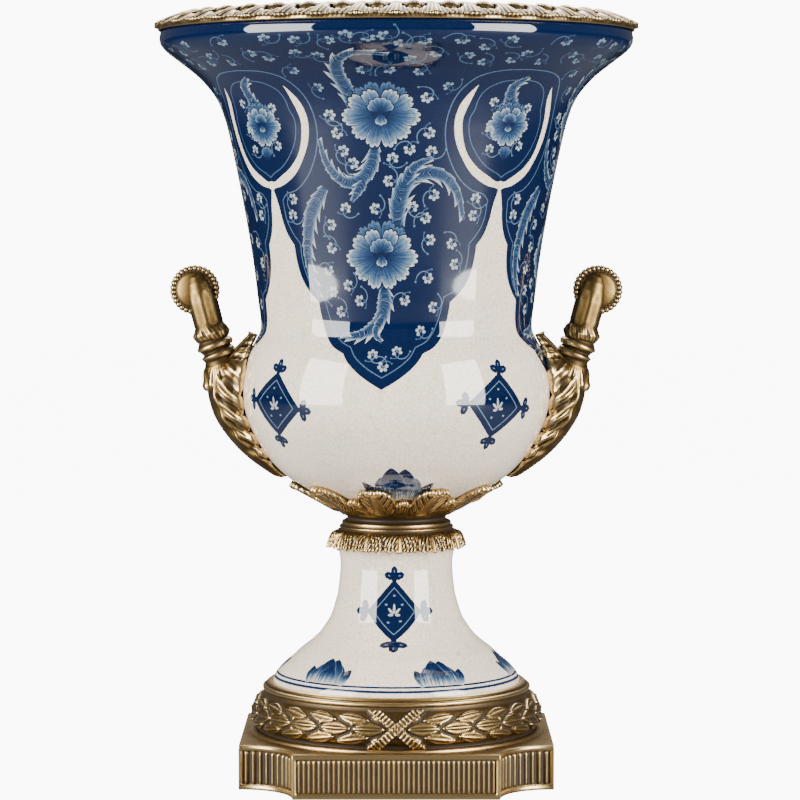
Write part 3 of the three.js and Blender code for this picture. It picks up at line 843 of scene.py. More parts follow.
def standing(grid, reach, around, closed):
    """How far a point stands out from the mean of four points about the reach away, along its
    normal and as a share of the reach: above 0 on edges and below 0 in hollows."""
    total = np.zeros_like(grid)
    for axis, wraps in ((1, around), (0, closed)):
        gap = np.median(np.linalg.norm(np.diff(grid, axis=axis), axis=2))
        steps = max(1, int(round(reach / gap)))
        total += neighbour(grid, axis, steps, wraps) + neighbour(grid, axis, -steps, wraps)
    return ((grid - total / 4) * facing(grid, around, closed)).sum(axis=2) / reach


test_ring = carve(spin(10.0, np.array([[0.0], [1.0], [2.0]]), np.arange(60) / 60 * 2 * np.pi), 1.5)
print(f"a ring of radius 10 carved by 1.5 mm reaches {np.hypot(*test_ring[1, 0, :2]):.2f} mm")

# %% Castings
EDGE_REACH, HOLLOW_REACH = 0.7, 2.6        # millimetres over which edges and hollows are felt
bronze_pieces = []


def casting(name, grids, node):
    """Makes a bronze piece of grids, each with whether it closes around and along. Each point keeps
    how it stands out over a short and a longer reach. Poles and seams are welded at the end."""
    points, faces, edges, hollows, count = [], [], [], [], 0
    for grid, around, closed in grids:
        rows, columns = grid.shape[:2]
        faces.append(grid_faces(rows, columns, around, closed) + count)
        points.append(grid.reshape(-1, 3))
        edges.append(standing(grid, EDGE_REACH, around, closed).reshape(-1))
        hollows.append(standing(grid, HOLLOW_REACH, around, closed).reshape(-1))
        count += rows * columns
    values = {"edge": np.concatenate(edges), "hollow": np.concatenate(hollows)}
    piece = make_piece(name, np.concatenate(points), np.concatenate(faces), node, values)
    shell = bmesh.new()
    shell.from_mesh(piece.data)
    bmesh.ops.remove_doubles(shell, verts=shell.verts, dist=0.005 * MM)
    shell.to_mesh(piece.data)
    shell.free()
    bronze_pieces.append(piece)


print(f"edges are felt over {EDGE_REACH} mm and hollows over {HOLLOW_REACH} mm")

# %% [markdown]
# ## The rim mount
# A band of cast leaves slopes up from the lip to the mouth. Fans with toothed ends alternate with
# leaf ends that roll over at the crest and leave a dark hollow under the roll. One modelled group
# could go around by an Array and a Curve modifier. Here it is a formula over the group's width and
# the distance down the slope, because neighbours then meet without a seam.

# %% Rim's leaves
FAN_RIBS = 84                    # ribs of a fan, counted over a whole turn about its apex
FAN_APEX = 8.0                   # millimetres from the crest to that apex


def rim_relief(x, down, half):
    """Height of the leaves at x millimetres from a fan's middle and a distance down from the
    crest: a domed fan with ribs that spread from its apex, and at the group's ends a rolled
    oval over a hollow and a small ribbed leaf under it."""
    fan = 1.9 * dome(x / (3.4 + 0.24 * down))
    rib = FAN_RIBS * np.arctan2(x + 0.09 * (down - 26), down + FAN_APEX)
    fan += (0.3 * np.cos(rib) + 0.45 * np.cos(rib / 4) * rise(down, 9, 17)) * rise(down, 4, 15)
    side = half - np.abs(x)
    oval = np.hypot(side / 5.2, (down - 11) / 6.6)
    roll = 3.0 * dome(oval) + 0.2 * np.cos(3.4 * (down - 0.06 * side**2)) * (oval < 0.9)
    under = 1.3 * dome(side / (0.01 + 4.6 * np.sin(np.pi * np.clip((down - 15) / 16, 0.02, 0.98))))
    under += 0.35 * np.cos(2.6 * side + 0.2 * down) * rise(down, 16, 20)
    hollow = -2.6 * bump(oval - 1.22, 0.2) * rise(down, 9, 13)
    return (np.maximum(np.maximum(fan, under), roll) + hollow - 1.3) * rise(down, 0, 4)


sample = rim_relief(np.linspace(-11, 11, 45)[None, :], np.linspace(0, 28, 57)[:, None], 11.0)
print(f"the leaves rise and sink from {sample.min():.1f} to {sample.max():.1f} mm")

# %% Rim mount
# The outlines below are pairs of a distance from the axis and a height.
EDGE_HALF, EDGE_RUN = 10.6, 28   # half a group's width at the toothed edge, and how far down that is
RIM_GROUPS = 40
RIM_COLUMNS = 34                 # columns of the grid in one group of leaves
RIM_UNDER = [(119.6, 453.3), (141.4, 453.3), (142.7, 452.5), (143.8, 452.3), (144.2, 453),
             (144.3, 454)]
RIM_SLOPE = [(146.8, 455), (140.2, 458.2), (134, 460.4), (126, 462.2), (119.4, 463)]
RIM_INSIDE = [(117.6, 462.2), (116.5, 461.8), (116.2, 461), (116.2, 455), (116.2, 450)]

rim_turns = np.arange(RIM_GROUPS * RIM_COLUMNS) / (RIM_GROUPS * RIM_COLUMNS) * 2 * np.pi
rim_u = cells_around(rim_turns, RIM_GROUPS)[None, :]
slope = smooth_line(RIM_SLOPE, 0.8)
slope_run = run_along(slope)
teeth = np.sqrt(0.5 + 0.5 * np.cos(FAN_RIBS * np.arctan2(EDGE_HALF * rim_u, EDGE_RUN + FAN_APEX)))
edge_gap = 1.7 * (1 - np.cos(0.5 * np.pi * rim_u) ** 2) + 1.1 * (1 - teeth)
along = edge_gap + (slope_run[-1] - edge_gap) * (slope_run / slope_run[-1])[:, None]
slope_radius = np.interp(along, slope_run, slope[:, 0])
slope_height = np.interp(along, slope_run, slope[:, 1])
edge_radius, edge_height = slope_radius[0], slope_height[0]
under_radius, under_height = level_rows(RIM_UNDER, rim_turns.size)
inside_radius, inside_height = level_rows(RIM_INSIDE, rim_turns.size)
rim_radius = np.concatenate([
    under_radius, [edge_radius - 1.2, edge_radius - 0.1], slope_radius, inside_radius])
rim_height = np.concatenate([
    under_height, [edge_height - 1.0, edge_height - 0.5], slope_height, inside_height])
first = len(RIM_UNDER) + 2
half_group = np.pi * slope_radius / RIM_GROUPS
rim_lift = np.zeros(rim_radius.shape)
rim_lift[first:first + len(slope)] = rim_relief(
    rim_u * np.pi * slope_radius / RIM_GROUPS, slope_run[-1] - along, half_group)
rim_lift[first] = 0
rim_grid = carve(spin(rim_radius, rim_height, rim_turns), rim_lift, closed=True)
casting("rim_leaves", [(rim_grid, True, True)], "rim_mount")

# %% [markdown]
# ## The neck collar
# The collar hides the joint of bowl and foot. Ten broad leaves open into a cup under the bowl, with
# small curled leaves in the gaps; two polished rings make a waist; and a skirt of ribbed leaves
# falls over the foot. The leaves could be separate meshes, but a casting is one skin, so all of it
# is one turned grid whose rows reach as far as the leaves do.

# %% Cup of leaves
COLLAR_LEAVES = 10
FIRST_LEAF = -13.0               # degrees from the front to the nearest large leaf
CUP_ROOT = np.array([34.8, 160.4])
CUP_TIP = np.array([64.2, 176.8])
LEAF_SHARE = 0.68                # share of its cell that a large leaf fills
COLLAR_COLUMNS = 840

collar_turns = np.arange(COLLAR_COLUMNS) / COLLAR_COLUMNS * 2 * np.pi
cup_side = np.abs(cells_around(collar_turns, COLLAR_LEAVES, FIRST_LEAF))[None, :]
scallops = np.abs(np.cos(3.5 * np.pi * cup_side / LEAF_SHARE)) ** 0.6
large = 0.5 + 0.5 * np.clip(1 - (cup_side / LEAF_SHARE) ** 3, 0, 1) ** 0.6 * (0.93 + 0.07 * scallops)
small = 0.6 - 0.3 * ((1 - cup_side) / 0.34) ** 2 - 0.025 * np.abs(np.sin(9 * np.pi * cup_side))
cup_reach = np.maximum(large, small)
cup_t = np.linspace(0, 1, 42)[:, None]
cup_radius = CUP_ROOT[0] + (CUP_TIP[0] - CUP_ROOT[0]) * cup_reach * cup_t
cup_height = CUP_ROOT[1] + (CUP_TIP[1] - CUP_ROOT[1]) * cup_reach * cup_t
cup_run = math.hypot(*(CUP_TIP - CUP_ROOT)) * cup_reach * cup_t
cup_x = cup_side * np.pi / COLLAR_LEAVES * cup_radius


def cup_relief(x, side, run, t):
    """Height of the cup's leaves: a domed blade with a smooth raised spine that widens to its root,
    ribs that bend up and out from the spine, lobes parted by cuts that deepen to the edge, a lip
    that turns out, and small curled leaves in the gaps."""
    spine = 1.6 + 0.05 * (33 - run)
    bend = run - 1.5 * x - 0.035 * x**2
    blade = 1.9 * dome(side / (LEAF_SHARE + 0.02)) ** 0.8 + 0.8 * dome(x / (1.5 * spine))
    off_spine = rise(x, spine, spine + 2)
    ribs = 0.32 * np.cos(2 * np.pi * bend / 2.7)
    cuts = 0.9 * bump((bend / 8.4) % 1 - 0.5, 0.12)
    blade += (ribs - cuts) * off_spine * rise(run, 3, 8)
    blade += 0.7 * rise(t, 0.86, 1) * rise(run, 14, 24) * scallops
    gap = (1 - side) * 18
    inner = 1.1 * dome((1 - side) / 0.4) + 0.35 * np.cos(2.9 * gap) * rise(run, 3, 8)
    inner += 1.5 * rise(t, 0.66, 1)
    return np.maximum(np.where(side < LEAF_SHARE, blade, 0), np.where(side > 0.62, inner, 0)) - 1.6


cup_lift = cup_relief(cup_x, cup_side, cup_run, cup_t) * rise(cup_run, 0, 4)
print(f"the cup opens from {cup_radius.min():.1f} to {cup_radius.max():.1f} mm from the axis")

# %% Skirt of leaves
SKIRT_LEAVES = 12
FIRST_SKIRT_LEAF = 3.4           # degrees from the front to the nearest leaf of the skirt
SKIRT = [(41.2, 140.2), (40.5, 143), (39.5, 145.6), (37.8, 148.4), (35.8, 150.4), (34.6, 151.2)]

skirt_u = cells_around(collar_turns, SKIRT_LEAVES, FIRST_SKIRT_LEAF)[None, :]
skirt_line = smooth_line(SKIRT, 0.55)
skirt_lobes = 0.6 * np.abs(np.cos(1.5 * np.pi * skirt_u))
skirt_fringe = skirt_lobes + 0.5 * np.cos(22.5 * (collar_turns + 0.4)) ** 2
skirt_t = run_along(skirt_line)[:, None] / run_along(skirt_line)[-1]
skirt_radius = skirt_line[:, [0]] + 0 * skirt_u + 0.7 * (skirt_fringe - 0.5) * (1 - skirt_t) ** 2
skirt_height = skirt_line[:, [1]] - 1.5 * (skirt_fringe - 0.3) * (1 - skirt_t) ** 2
skirt_x = skirt_u * np.pi / SKIRT_LEAVES * skirt_radius
skirt_run = run_along(skirt_line)[-1] * (1 - skirt_t)


def skirt_relief(x, u, down):
    """Height of the skirt's leaves at x millimetres from a leaf's middle and a distance down: a
    rib down the middle and combed ribs that bend away from it as they fall, in small waves."""
    bend = np.abs(x) + 0.03 * (down - 12) ** 2 + 0.3 * np.sin(1.5 * down + 1.9 * x)
    comb = 0.55 * np.cos(2 * np.pi * bend / 2.3) + 0.22 * np.cos(1.9 * down + 3.1 * x)
    return (1.3 * bump(x, 1.0) + comb * rise(np.abs(x), 0.8, 2) + 0.8 * dome(u)) * rise(down, 1, 6) - 0.5


skirt_lift = skirt_relief(skirt_x, skirt_u, skirt_run)
print(f"the skirt hangs down to {skirt_height.min():.1f} mm")

# %% Collar
COLLAR_UNDER = [(22, 148.3), (32.3, 148.3), (35.1, 146.8), (36.4, 141.4)]
WAIST = [(34.8, 151.5), (34.9, 152.0), (34.2, 152.7), (33.2, 153.0), (33.4, 153.7), (33.5, 154.5),
         (32.9, 155.3), (31.6, 155.9), (30.4, 156.6), (30.1, 157.5), (31, 158.6), (32.6, 159.3),
         (33.7, 159.5), (34.2, 159.9)]
CUP_BACK = (64, 52, 42, 29.2)    # radii of the cup's back, which follows the bowl
BOWL_GAP = 0.6                   # how far it stays under the bowl


def under_bowl(radius):
    """Height just under the bowl at a distance from the axis."""
    return np.interp(radius, bowl_line[:lip_row, 0], bowl_line[:lip_row, 1]) - BOWL_GAP


under_radius, under_height = level_rows(COLLAR_UNDER, COLLAR_COLUMNS)
waist_radius, waist_height = level_rows(WAIST, COLLAR_COLUMNS)
back_radius = [np.minimum(cup_radius[-1] - 0.3, limit) for limit in CUP_BACK]
collar_radius = np.concatenate([
    under_radius, [skirt_radius[0] - 1.5, skirt_radius[0] - 0.3], skirt_radius, waist_radius,
    cup_radius, back_radius])
collar_height = np.concatenate([
    under_height, [skirt_height[0] + 0.4, skirt_height[0] - 0.1], skirt_height, waist_height,
    cup_height, [under_bowl(radius) for radius in back_radius]])
collar_lift = np.zeros(collar_radius.shape)
first = len(COLLAR_UNDER) + 2
collar_lift[first:first + len(skirt_line)] = skirt_lift
first += len(skirt_line) + len(WAIST)
collar_lift[first:first + len(cup_t)] = cup_lift
collar_grid = carve(spin(collar_radius, collar_height, collar_turns), collar_lift, closed=True)
casting("collar_leaves", [(collar_grid, True, True)], "neck_collar")

# %% [markdown]
# ## The plinth
# The base is one casting: a square plinth with hollow corners, reeded all around inside a plain
# border, and a round laurel moulding on top. It could be a cube with cylinders cut out of it, but
# reeds have to run around the hollow corners too, so its plan is carried up as a grid whose columns
# follow the plan, with the reeds as relief. It is hollow underneath, as such castings are.

# %% Plan of the plinth
PLINTH_HALF = 94.0               # half the width of the square
CORNER = 33.0                    # radius of a hollow corner
REEDS_FLAT, REEDS_CORNER = 40, 11
REED_COLUMNS = 9                 # columns of the grid across one reed
BORDER = 2.4                     # plain strip at both ends of a row of reeds

flat_half = PLINTH_HALF - CORNER


def with_border(length, reeds):
    """Distances along a stretch of the plan and the place in a reed, -1 to 1, at each of them: a plain
    border at both ends, where that place is 9, and the given number of reeds between."""
    inner = np.linspace(BORDER, length - BORDER, reeds * (REED_COLUMNS - 1) + 1)
    place = np.append(np.tile(np.linspace(-1, 1, REED_COLUMNS)[:-1], reeds), 1)
    run = np.concatenate([[0, 0.5, BORDER - 0.3], inner, [length - BORDER + 0.3, length - 0.5, length]])
    return run, np.concatenate([[9, 9, 9], place, [9, 9, 9]])


def plinth_side():
    """Places, outward directions and places in a reed along one side and the hollow corner after it:
    the side is straight, and the corner is a quarter circle about the square's own corner."""
    run, side_place = with_border(2 * flat_half, REEDS_FLAT)
    flat_points = np.stack([run - flat_half, np.full(len(run), -PLINTH_HALF)], axis=1)
    flat_out = np.tile([0.0, -1.0], (len(run), 1))
    run, corner_place = with_border(CORNER * np.pi / 2, REEDS_CORNER)
    heading = np.pi - run / CORNER
    spoke = np.stack([np.cos(heading), np.sin(heading)], axis=1)
    corner_points = np.array([PLINTH_HALF, -PLINTH_HALF]) + CORNER * spoke
    return (np.concatenate([flat_points, corner_points]), np.concatenate([flat_out, -spoke]),
            np.concatenate([side_place, corner_place]))


side_points, side_out, side_reeds = plinth_side()
quarters = [np.array([[math.cos(a), math.sin(a)], [-math.sin(a), math.cos(a)]])
            for a in np.arange(4) * np.pi / 2]
plan = np.concatenate([side_points @ q for q in quarters])
plan_out = np.concatenate([side_out @ q for q in quarters])
plan_reed = np.tile(side_reeds, 4)
plan_turn = np.arctan2(plan[:, 0], -plan[:, 1])
reed_pitch = (2 * flat_half - 2 * BORDER) / REEDS_FLAT
print(f"{4 * (REEDS_FLAT + REEDS_CORNER)} reeds, {reed_pitch:.1f} mm apart on the sides")

# %% Plinth
PLINTH_TOP = 26.6
REED_BOTTOM, REED_TOP = 3.4, 23.2
REED_STEPS = [0, 0.4, 0.9, 1.5, 2.4, 4.8, 8, 11.8, 15, 17.4, 18.3, 18.9, 19.4, 19.8]
REED_DEPTH = 1.25
REED_WIDTH = 0.46                # half-width of a reed's bell section, as a share of its half-pitch
SEAT_RADIUS, WELL_RADIUS = 88.6, 79.5      # the round step on top, and the hole inside it
WELL_SHARE = 0.952               # size of the hollow underneath, as a share of the plan


def ring_like_plan(radius):
    """A circle with a point at the heading of each point of the plan."""
    return np.stack([radius * np.sin(plan_turn), -radius * np.cos(plan_turn)], axis=1)


def plinth_row(xy, height):
    """One row of the plinth's grid: places in plan at one height."""
    return np.column_stack([xy, np.full(len(xy), height)])


reed_heights = np.array(REED_STEPS) + REED_BOTTOM
from_end = np.minimum(reed_heights - REED_BOTTOM, REED_TOP - reed_heights)
reed_end = dome(1 - np.clip(from_end / 1.6, 0, 1))
sunk = REED_DEPTH * (plan_reed < 2)
outer_rows = [plinth_row(plan * 0.998, 0), plinth_row(plan, 0.5), plinth_row(plan, REED_BOTTOM - 0.4)]
for height, end in zip(reed_heights, reed_end):
    depth = sunk * (1 - end * bump(plan_reed, REED_WIDTH))
    outer_rows.append(plinth_row(plan - plan_out * depth[:, None], height))
outer_rows += [plinth_row(plan, 23.6), plinth_row(plan, 26.0), plinth_row(plan * 0.996, 26.5),
               plinth_row(plan * 0.99, PLINTH_TOP)]
blend_share = (0.25, 0.5, 0.75, 1.0)
circle = ring_like_plan(SEAT_RADIUS)
outer_rows += [plinth_row(plan * 0.99 * (1 - s) + circle * s, PLINTH_TOP + 0.1 * s)
               for s in blend_share]
well = ring_like_plan(WELL_RADIUS)
outer_rows += [plinth_row(well, PLINTH_TOP), plinth_row(well, 22),
               plinth_row(plan * WELL_SHARE, 22), plinth_row(plan * WELL_SHARE, 0)]
plinth_grid = np.stack(outer_rows)
casting("reeded_plinth", [(plinth_grid, True, True)], "base")

# %% [markdown]
# ## The laurel ring
# Bound laurel leaves in three rows run both ways from ribbons that cross at the front and at the
# back. A leaf is a lens in plan and domed in section, with a rib along it; berries sit between
# the tips. Above it polished steps lead up to the porcelain. One leaf could be instanced along a
# circle, but leaves that only lie on a ring leave gaps, so they are heights on the ring's own grid.

# %% Laurel leaves
LAUREL_PITCH = 21.0              # distance from leaf to leaf around the ring
LAUREL = [(84.4, 28.8), (86.4, 30.2), (88.2, 32.6), (88.9, 36), (88.3, 40.2), (87, 44),
          (85.3, 46.8), (83.2, 49.6), (81.2, 51.6)]
RING_RADIUS = 88                 # radius at which distances around the ring are counted
RING_COLUMNS = 1080

ring_turns = np.arange(RING_COLUMNS) / RING_COLUMNS * 2 * np.pi
laurel = smooth_line(LAUREL, 0.55)
laurel_run = run_along(laurel) - run_along(laurel)[-1] / 2
signed = RING_RADIUS * ((ring_turns + np.pi / 2) % np.pi - np.pi / 2)[None, :]
around = np.abs(signed)
up = laurel_run[:, None]


def laurel_row(middle, width, length, start, tilt):
    """Height of one row of leaves: in each pitch a lens, whose half-width is the width times a
    power of a sine along it, domed across, with a rib along its middle, a groove on each side of
    the rib and a raised edge."""
    place = (around - start) % LAUREL_PITCH
    t = place / length
    half = width * np.sin(np.pi * np.clip(t, 0, 1)) ** 0.85 + 1e-6
    off = (up - middle - tilt * (place - length / 2)) / half
    blade = 1.7 * dome(off) ** 0.7 + 0.4 * bump(off, 0.15) - 0.5 * bump(np.abs(off) - 0.34, 0.13)
    blade += 0.3 * bump(np.abs(off) - 0.88, 0.1)
    return np.where((t < 1) & (np.abs(off) < 1), blade, 0)


laurel_lift = np.maximum(laurel_row(0, 4.1, 20.4, 6.4, 0), laurel_row(6.4, 3.7, 20, 16.4, 0.13))
laurel_lift = np.maximum(laurel_lift, laurel_row(-6.4, 3.7, 20, 16.4, -0.13))
berry_place = (around - 5.6 + LAUREL_PITCH / 2) % LAUREL_PITCH - LAUREL_PITCH / 2
for middle in (2.9, -2.9):
    laurel_lift = np.maximum(laurel_lift, 1.5 * dome(np.hypot(berry_place, up - middle) / 1.35))
laurel_lift *= rise(around, 5, 7)
print(f"{np.pi / 2 * RING_RADIUS / LAUREL_PITCH:.1f} pitches of leaves on each side of a ribbon")

# %% Ribbons and ring
BELOW = [(66, 49.6), (78, 41), (79, 24), (86.5, 24), (88.8, 26.2), (88.9, 27.2), (88.2, 28),
         (86.8, 28.2), (85.2, 28.1), (84.2, 28.3)]
ABOVE = [(80.7, 52.2), (81.3, 52.7), (81.9, 53.4), (81.8, 54.4), (80.9, 55.1), (79.9, 55.3),
         (79.5, 55.9), (79.3, 56.7), (78.4, 57.3), (76.9, 57.5), (76, 57.2), (75.6, 56.2),
         (75.5, 54.3), (66, 54.3)]


def ribbon(lean):
    """Height of one ribbon: a band along a slanting line, ribbed across and raised at its edges."""
    length = math.hypot(1, lean)
    off = (signed - lean * up) / length
    run = (lean * signed + up) / length
    band = 2.3 * rise(3.0 - np.abs(off), 0, 0.7) * (1 - rise(np.abs(up), 11.6, 12.4))
    return band * (1 + 0.2 * np.cos(2 * np.pi * run / 2.5) + 0.16 * bump(np.abs(off) - 2.5, 0.4))


crossed = np.maximum(ribbon(1.2) * 1.1, ribbon(-1.2))
laurel_lift = np.maximum(laurel_lift, crossed) - 1.0
laurel_lift *= rise(run_along(laurel)[-1] / 2 - np.abs(up), 0, 1)
ring_rows = np.concatenate([BELOW, laurel, ABOVE])
ring_lift = np.zeros((len(ring_rows), RING_COLUMNS))
ring_lift[len(BELOW):len(BELOW) + len(laurel)] = laurel_lift
ring_grid = carve(spin(ring_rows[:, [0]], ring_rows[:, [1]], ring_turns), ring_lift, closed=True)
casting("laurel_ring", [(ring_grid, True, True)], "base")

# %% [markdown]
# ## The handles
# Each handle is one casting: an acanthus leaf that lies on the bowl's shoulder, a ringed stem that
# grows out of a frilled cup, and a roundel with a beaded edge. The leaf is a stack of rings, each
# a half-oval over the bowl; its lobes sweep down and in from a smooth band along the spine. It could
# be sculpted by hand, but a formula of two distances, off the spine and down from the top, keeps
# both sides of a leaf alike. The left handle is the right one turned half around the axis.

# %% Rings of the leaf
LEAF_COLUMNS = 89
# Height, reach from the axis and half-width of the leaf along its spine.
LEAF_SPINE = [(182.2, 74.4, 3), (187.4, 81.8, 6.4), (194.6, 91, 10.8), (199.4, 96.2, 9.8),
              (206, 102, 13.8), (211.4, 106, 12.6), (218.4, 110.2, 16.2), (224, 112.4, 14.8),
              (232, 114.4, 17.8), (239, 114.8, 16), (247.4, 111.2, 17.4), (255.6, 102.6, 12),
              (268.7, 90.6, 3.2)]

leaf_line = smooth_line(LEAF_SPINE, 0.85)
leaf_height, leaf_reach, leaf_half = leaf_line[:, [0]], leaf_line[:, [1]], leaf_line[:, [2]]
wall = np.interp(leaf_height, bowl_line[:lip_row, 1], bowl_line[:lip_row, 0])
angle = np.linspace(-np.pi / 2, np.pi / 2, LEAF_COLUMNS)[None, :]
flank = np.minimum(leaf_reach - 1.6, np.sqrt(wall**2 - leaf_half**2) + 1.6)
front = np.stack([flank + (leaf_reach - flank) * np.cos(angle) ** 0.8, leaf_half * np.sin(angle),
                  leaf_height + 0 * angle], axis=-1)
back_share = np.linspace(1, -1, 9)[None, 1:-1]
back_side = leaf_half * 0.92 * back_share
back = np.stack([np.sqrt((wall + 0.5) ** 2 - back_side**2), back_side,
                 leaf_height + 0 * back_share], axis=-1)
down = run_along(leaf_line[:, :2])[-1] - run_along(leaf_line[:, :2])[:, None]
step = np.linalg.norm(np.diff(front, axis=1), axis=2)
off = np.concatenate([np.zeros((len(step), 1)), np.cumsum(step, axis=1)], axis=1)
off = np.abs(off - off[:, [off.shape[1] // 2]])
print(f"the leaf is {down[0, 0]:.0f} mm long and {2 * off.max():.0f} mm wide, measured over its back")

# %% Acanthus leaf
# Each pair is a distance down from the leaf's top and a value there.
BAND = [(0, 5), (18, 9.5), (34, 13), (60, 15), (100, 15)]      # half-width of the smooth band
LOBES = [(0, 0), (20, 36), (100, 116)]      # the lobes' own measure, which makes them short on top
SWEEPS = [(0, -0.7), (12, -0.1), (24, 0.5), (40, 0.85), (100, 1.0)]     # a rib's fall per mm outwards
LOBE = 15.5                      # length of one lobe along the spine


def acanthus(off, down, edge):
    """Height of the leaf a distance off its spine and down from its top: a smooth band, wider
    below, with a bead at its side, then domed lobes between cuts, with ribs that run out along
    them, an eyelet where each cut starts, and lips that turn out at the leaf's edge. Ribs rise
    outwards near the top and fall outwards below."""
    band_edge = np.interp(down, *zip(*BAND))
    swept = np.interp(down, *zip(*LOBES)) - np.interp(down, *zip(*SWEEPS)) * (off - band_edge)
    inside = rise(off, band_edge - 0.8, band_edge + 1)
    cell = (swept / LOBE) % 1
    lobe = 1.9 * np.sin(np.pi * cell) ** 0.5 - 1.4
    ribs = 0.34 * np.cos(2 * np.pi * swept / 3.9) * np.sin(np.pi * cell)
    ribs *= rise(off, band_edge, band_edge + 3)
    across = (off - band_edge - 2.2) / 1.5
    eyelet = -2.6 * bump(np.hypot(across, np.minimum(cell, 1 - cell) * LOBE / 2.4), 1.0)
    lip = 1.9 * rise(off / np.maximum(edge, 1), 0.8, 1.0) * np.sin(np.pi * cell) ** 0.5
    band = 0.5 * dome(off / band_edge) ** 0.5 + 0.45 * bump(off - band_edge + 1.1, 0.8)
    return band * (1 - inside) + (lobe + ribs + eyelet + lip) * inside


leaf_relief = acanthus(off, down, off[:, [-1]])
leaf_relief *= rise(down, 0, 3) * rise(down[0] - down, 0, 4) * np.minimum(1, leaf_half / 9)
leaf_grid = np.concatenate([front, back], axis=1)
leaf_lift = np.concatenate([leaf_relief, np.zeros((len(back), back.shape[1]))], axis=1)
leaf_grid = carve(leaf_grid, leaf_lift)
tips = leaf_grid[[0, -1]].mean(axis=1) + [(-1.5, 0, -1), (1.6, 0, 2.4)]
low_tip, high_tip = np.repeat(tips[:, None, None], leaf_grid.shape[1], axis=2)
leaf_grid = np.concatenate([low_tip, leaf_grid, high_tip])
print(f"the leaf's carving goes from {leaf_relief.min():.1f} to {leaf_relief.max():.1f} mm")

# %% Stem
# Reach from the axis, height and radius of the stem, from the cup's root to its tip.
STEM = [(104.4, 236.2, 8), (104.5, 236.4, 11.2), (105.2, 239.5, 12.3), (106, 245, 11.9),
        (106.7, 250.6, 11), (107.4, 253.2, 9.2), (107.7, 254.6, 9.6), (108.1, 255.8, 10.7),
        (108.5, 257.3, 10.9), (108.9, 258.6, 9.9), (109.3, 259.5, 8.8), (109.7, 260.4, 9.8),
        (110.2, 261.4, 11.2), (110.7, 262.9, 11.4), (111.2, 264.2, 10.4), (111.6, 265.3, 9.1),
        (112.1, 266.6, 10), (112.9, 269.6, 10.6), (113.6, 272.6, 9.7), (114.1, 274.4, 8.9),
        (115.4, 279.4, 8.9), (118, 289, 9), (119.6, 295, 8.6), (120.9, 300, 7.4),
        (121.8, 304, 5.4), (122.3, 306.4, 3), (122.4, 307.6, 0)]
STEM_STEP = 0.55                 # millimetres from ring to ring
STEM_COLUMNS = 104
CUP_FOOT, LEAF_RING = 236.2, 269.6         # heights of the cup's root and of the small leaves above

stem_line = even_steps(np.array(STEM), STEM_STEP)
slope = np.gradient(smooth_line(np.array(STEM)[:, :2], STEM_STEP), axis=0)
share, slope_share = np.linspace(0, 1, len(stem_line)), np.linspace(0, 1, len(slope))
slant = np.stack([np.interp(share, slope_share, slope[:, i]) for i in (0, 1)], axis=1)
slant /= np.linalg.norm(slant, axis=1, keepdims=True)
turn = np.arange(STEM_COLUMNS) / STEM_COLUMNS * 2 * np.pi
stem_height = stem_line[:, [1]]
frill = rise(stem_height, 235, 238) * (1 - rise(stem_height, 249, 253))
leafy = bump(stem_height - LEAF_RING, 3.2)
shaft = rise(stem_height, 274, 277) * (1 - rise(stem_height, 290, 296))
low = stem_height - CUP_FOOT
comb = np.cos(24 * turn + 0.5 * np.sin(5 * turn) * low) * (1 - rise(low, 9, 15))
tips = np.abs(np.cos(6 * turn)) ** 0.7 * (1 - rise(low, 0.6, 7))
twist = np.cos(24 * turn + 0.8 * (stem_height - LEAF_RING))
stem_relief = (frill * (0.5 * comb + 1.5 * tips - 0.3)
               + leafy * (0.7 * np.cos(8 * turn) + 0.35 * twist)
               + shaft * 0.22 * np.cos(8 * turn))
stem_radius = stem_line[:, [2]] + stem_relief * (stem_line[:, [2]] > 3)
stem_grid = np.stack([stem_line[:, [0]] + slant[:, [1]] * stem_radius * np.cos(turn),
                      stem_radius * np.sin(turn),
                      stem_height - slant[:, [0]] * stem_radius * np.cos(turn)], axis=-1)
base_row = np.repeat(stem_grid[0].mean(axis=0)[None, None], len(turn), axis=1)
stem_grid = np.concatenate([base_row, stem_grid])
print(f"the stem has {len(stem_line)} rings, the widest {2 * stem_radius.max():.1f} mm across")

# %% Roundel and handles
ROUNDEL = np.array([122.6, 0, 296])         # middle of the right roundel
ROUNDEL_BEADS = 30
BEAD_COLUMNS = 9                 # columns of the grid across one bead
DISC = [(0, -4.9), (4, -4.7), (7.6, -4.0), (10.6, -2.9), (11.2, -2.2), (11.9, -2.1),
        (12.7, -2.7), (13.8, -2.5), (14.7, -1.4), (15, 0)]     # radius and depth of one face

disc_half = smooth_line(DISC, 0.5)
disc_line = np.concatenate([disc_half, disc_half[-2::-1] * (1, -1)])
disc_line[[0, -1], 0] = 0
disc_columns = ROUNDEL_BEADS * BEAD_COLUMNS
turn = np.arange(disc_columns) / disc_columns * 2 * np.pi
bead_share = rise(disc_line[:, [0]], 11.2, 12.2)
beads = bead_share * (1.4 * dome(cells_around(turn, ROUNDEL_BEADS))[None, :] ** 0.7 - 1.15)
disc_grid = np.stack([disc_line[:, [0]] * np.sin(turn), disc_line[:, [1]] + 0 * turn,
                      disc_line[:, [0]] * np.cos(turn)], axis=-1)
disc_grid = carve(disc_grid, beads) + ROUNDEL

handle_grids = [leaf_grid, stem_grid, disc_grid]
for name, flip in (("handle_right", 1), ("handle_left", -1)):
    placed = [(grid * (flip, flip, 1), True, False) for grid in handle_grids]
    casting("acanthus_" + name, placed, name)

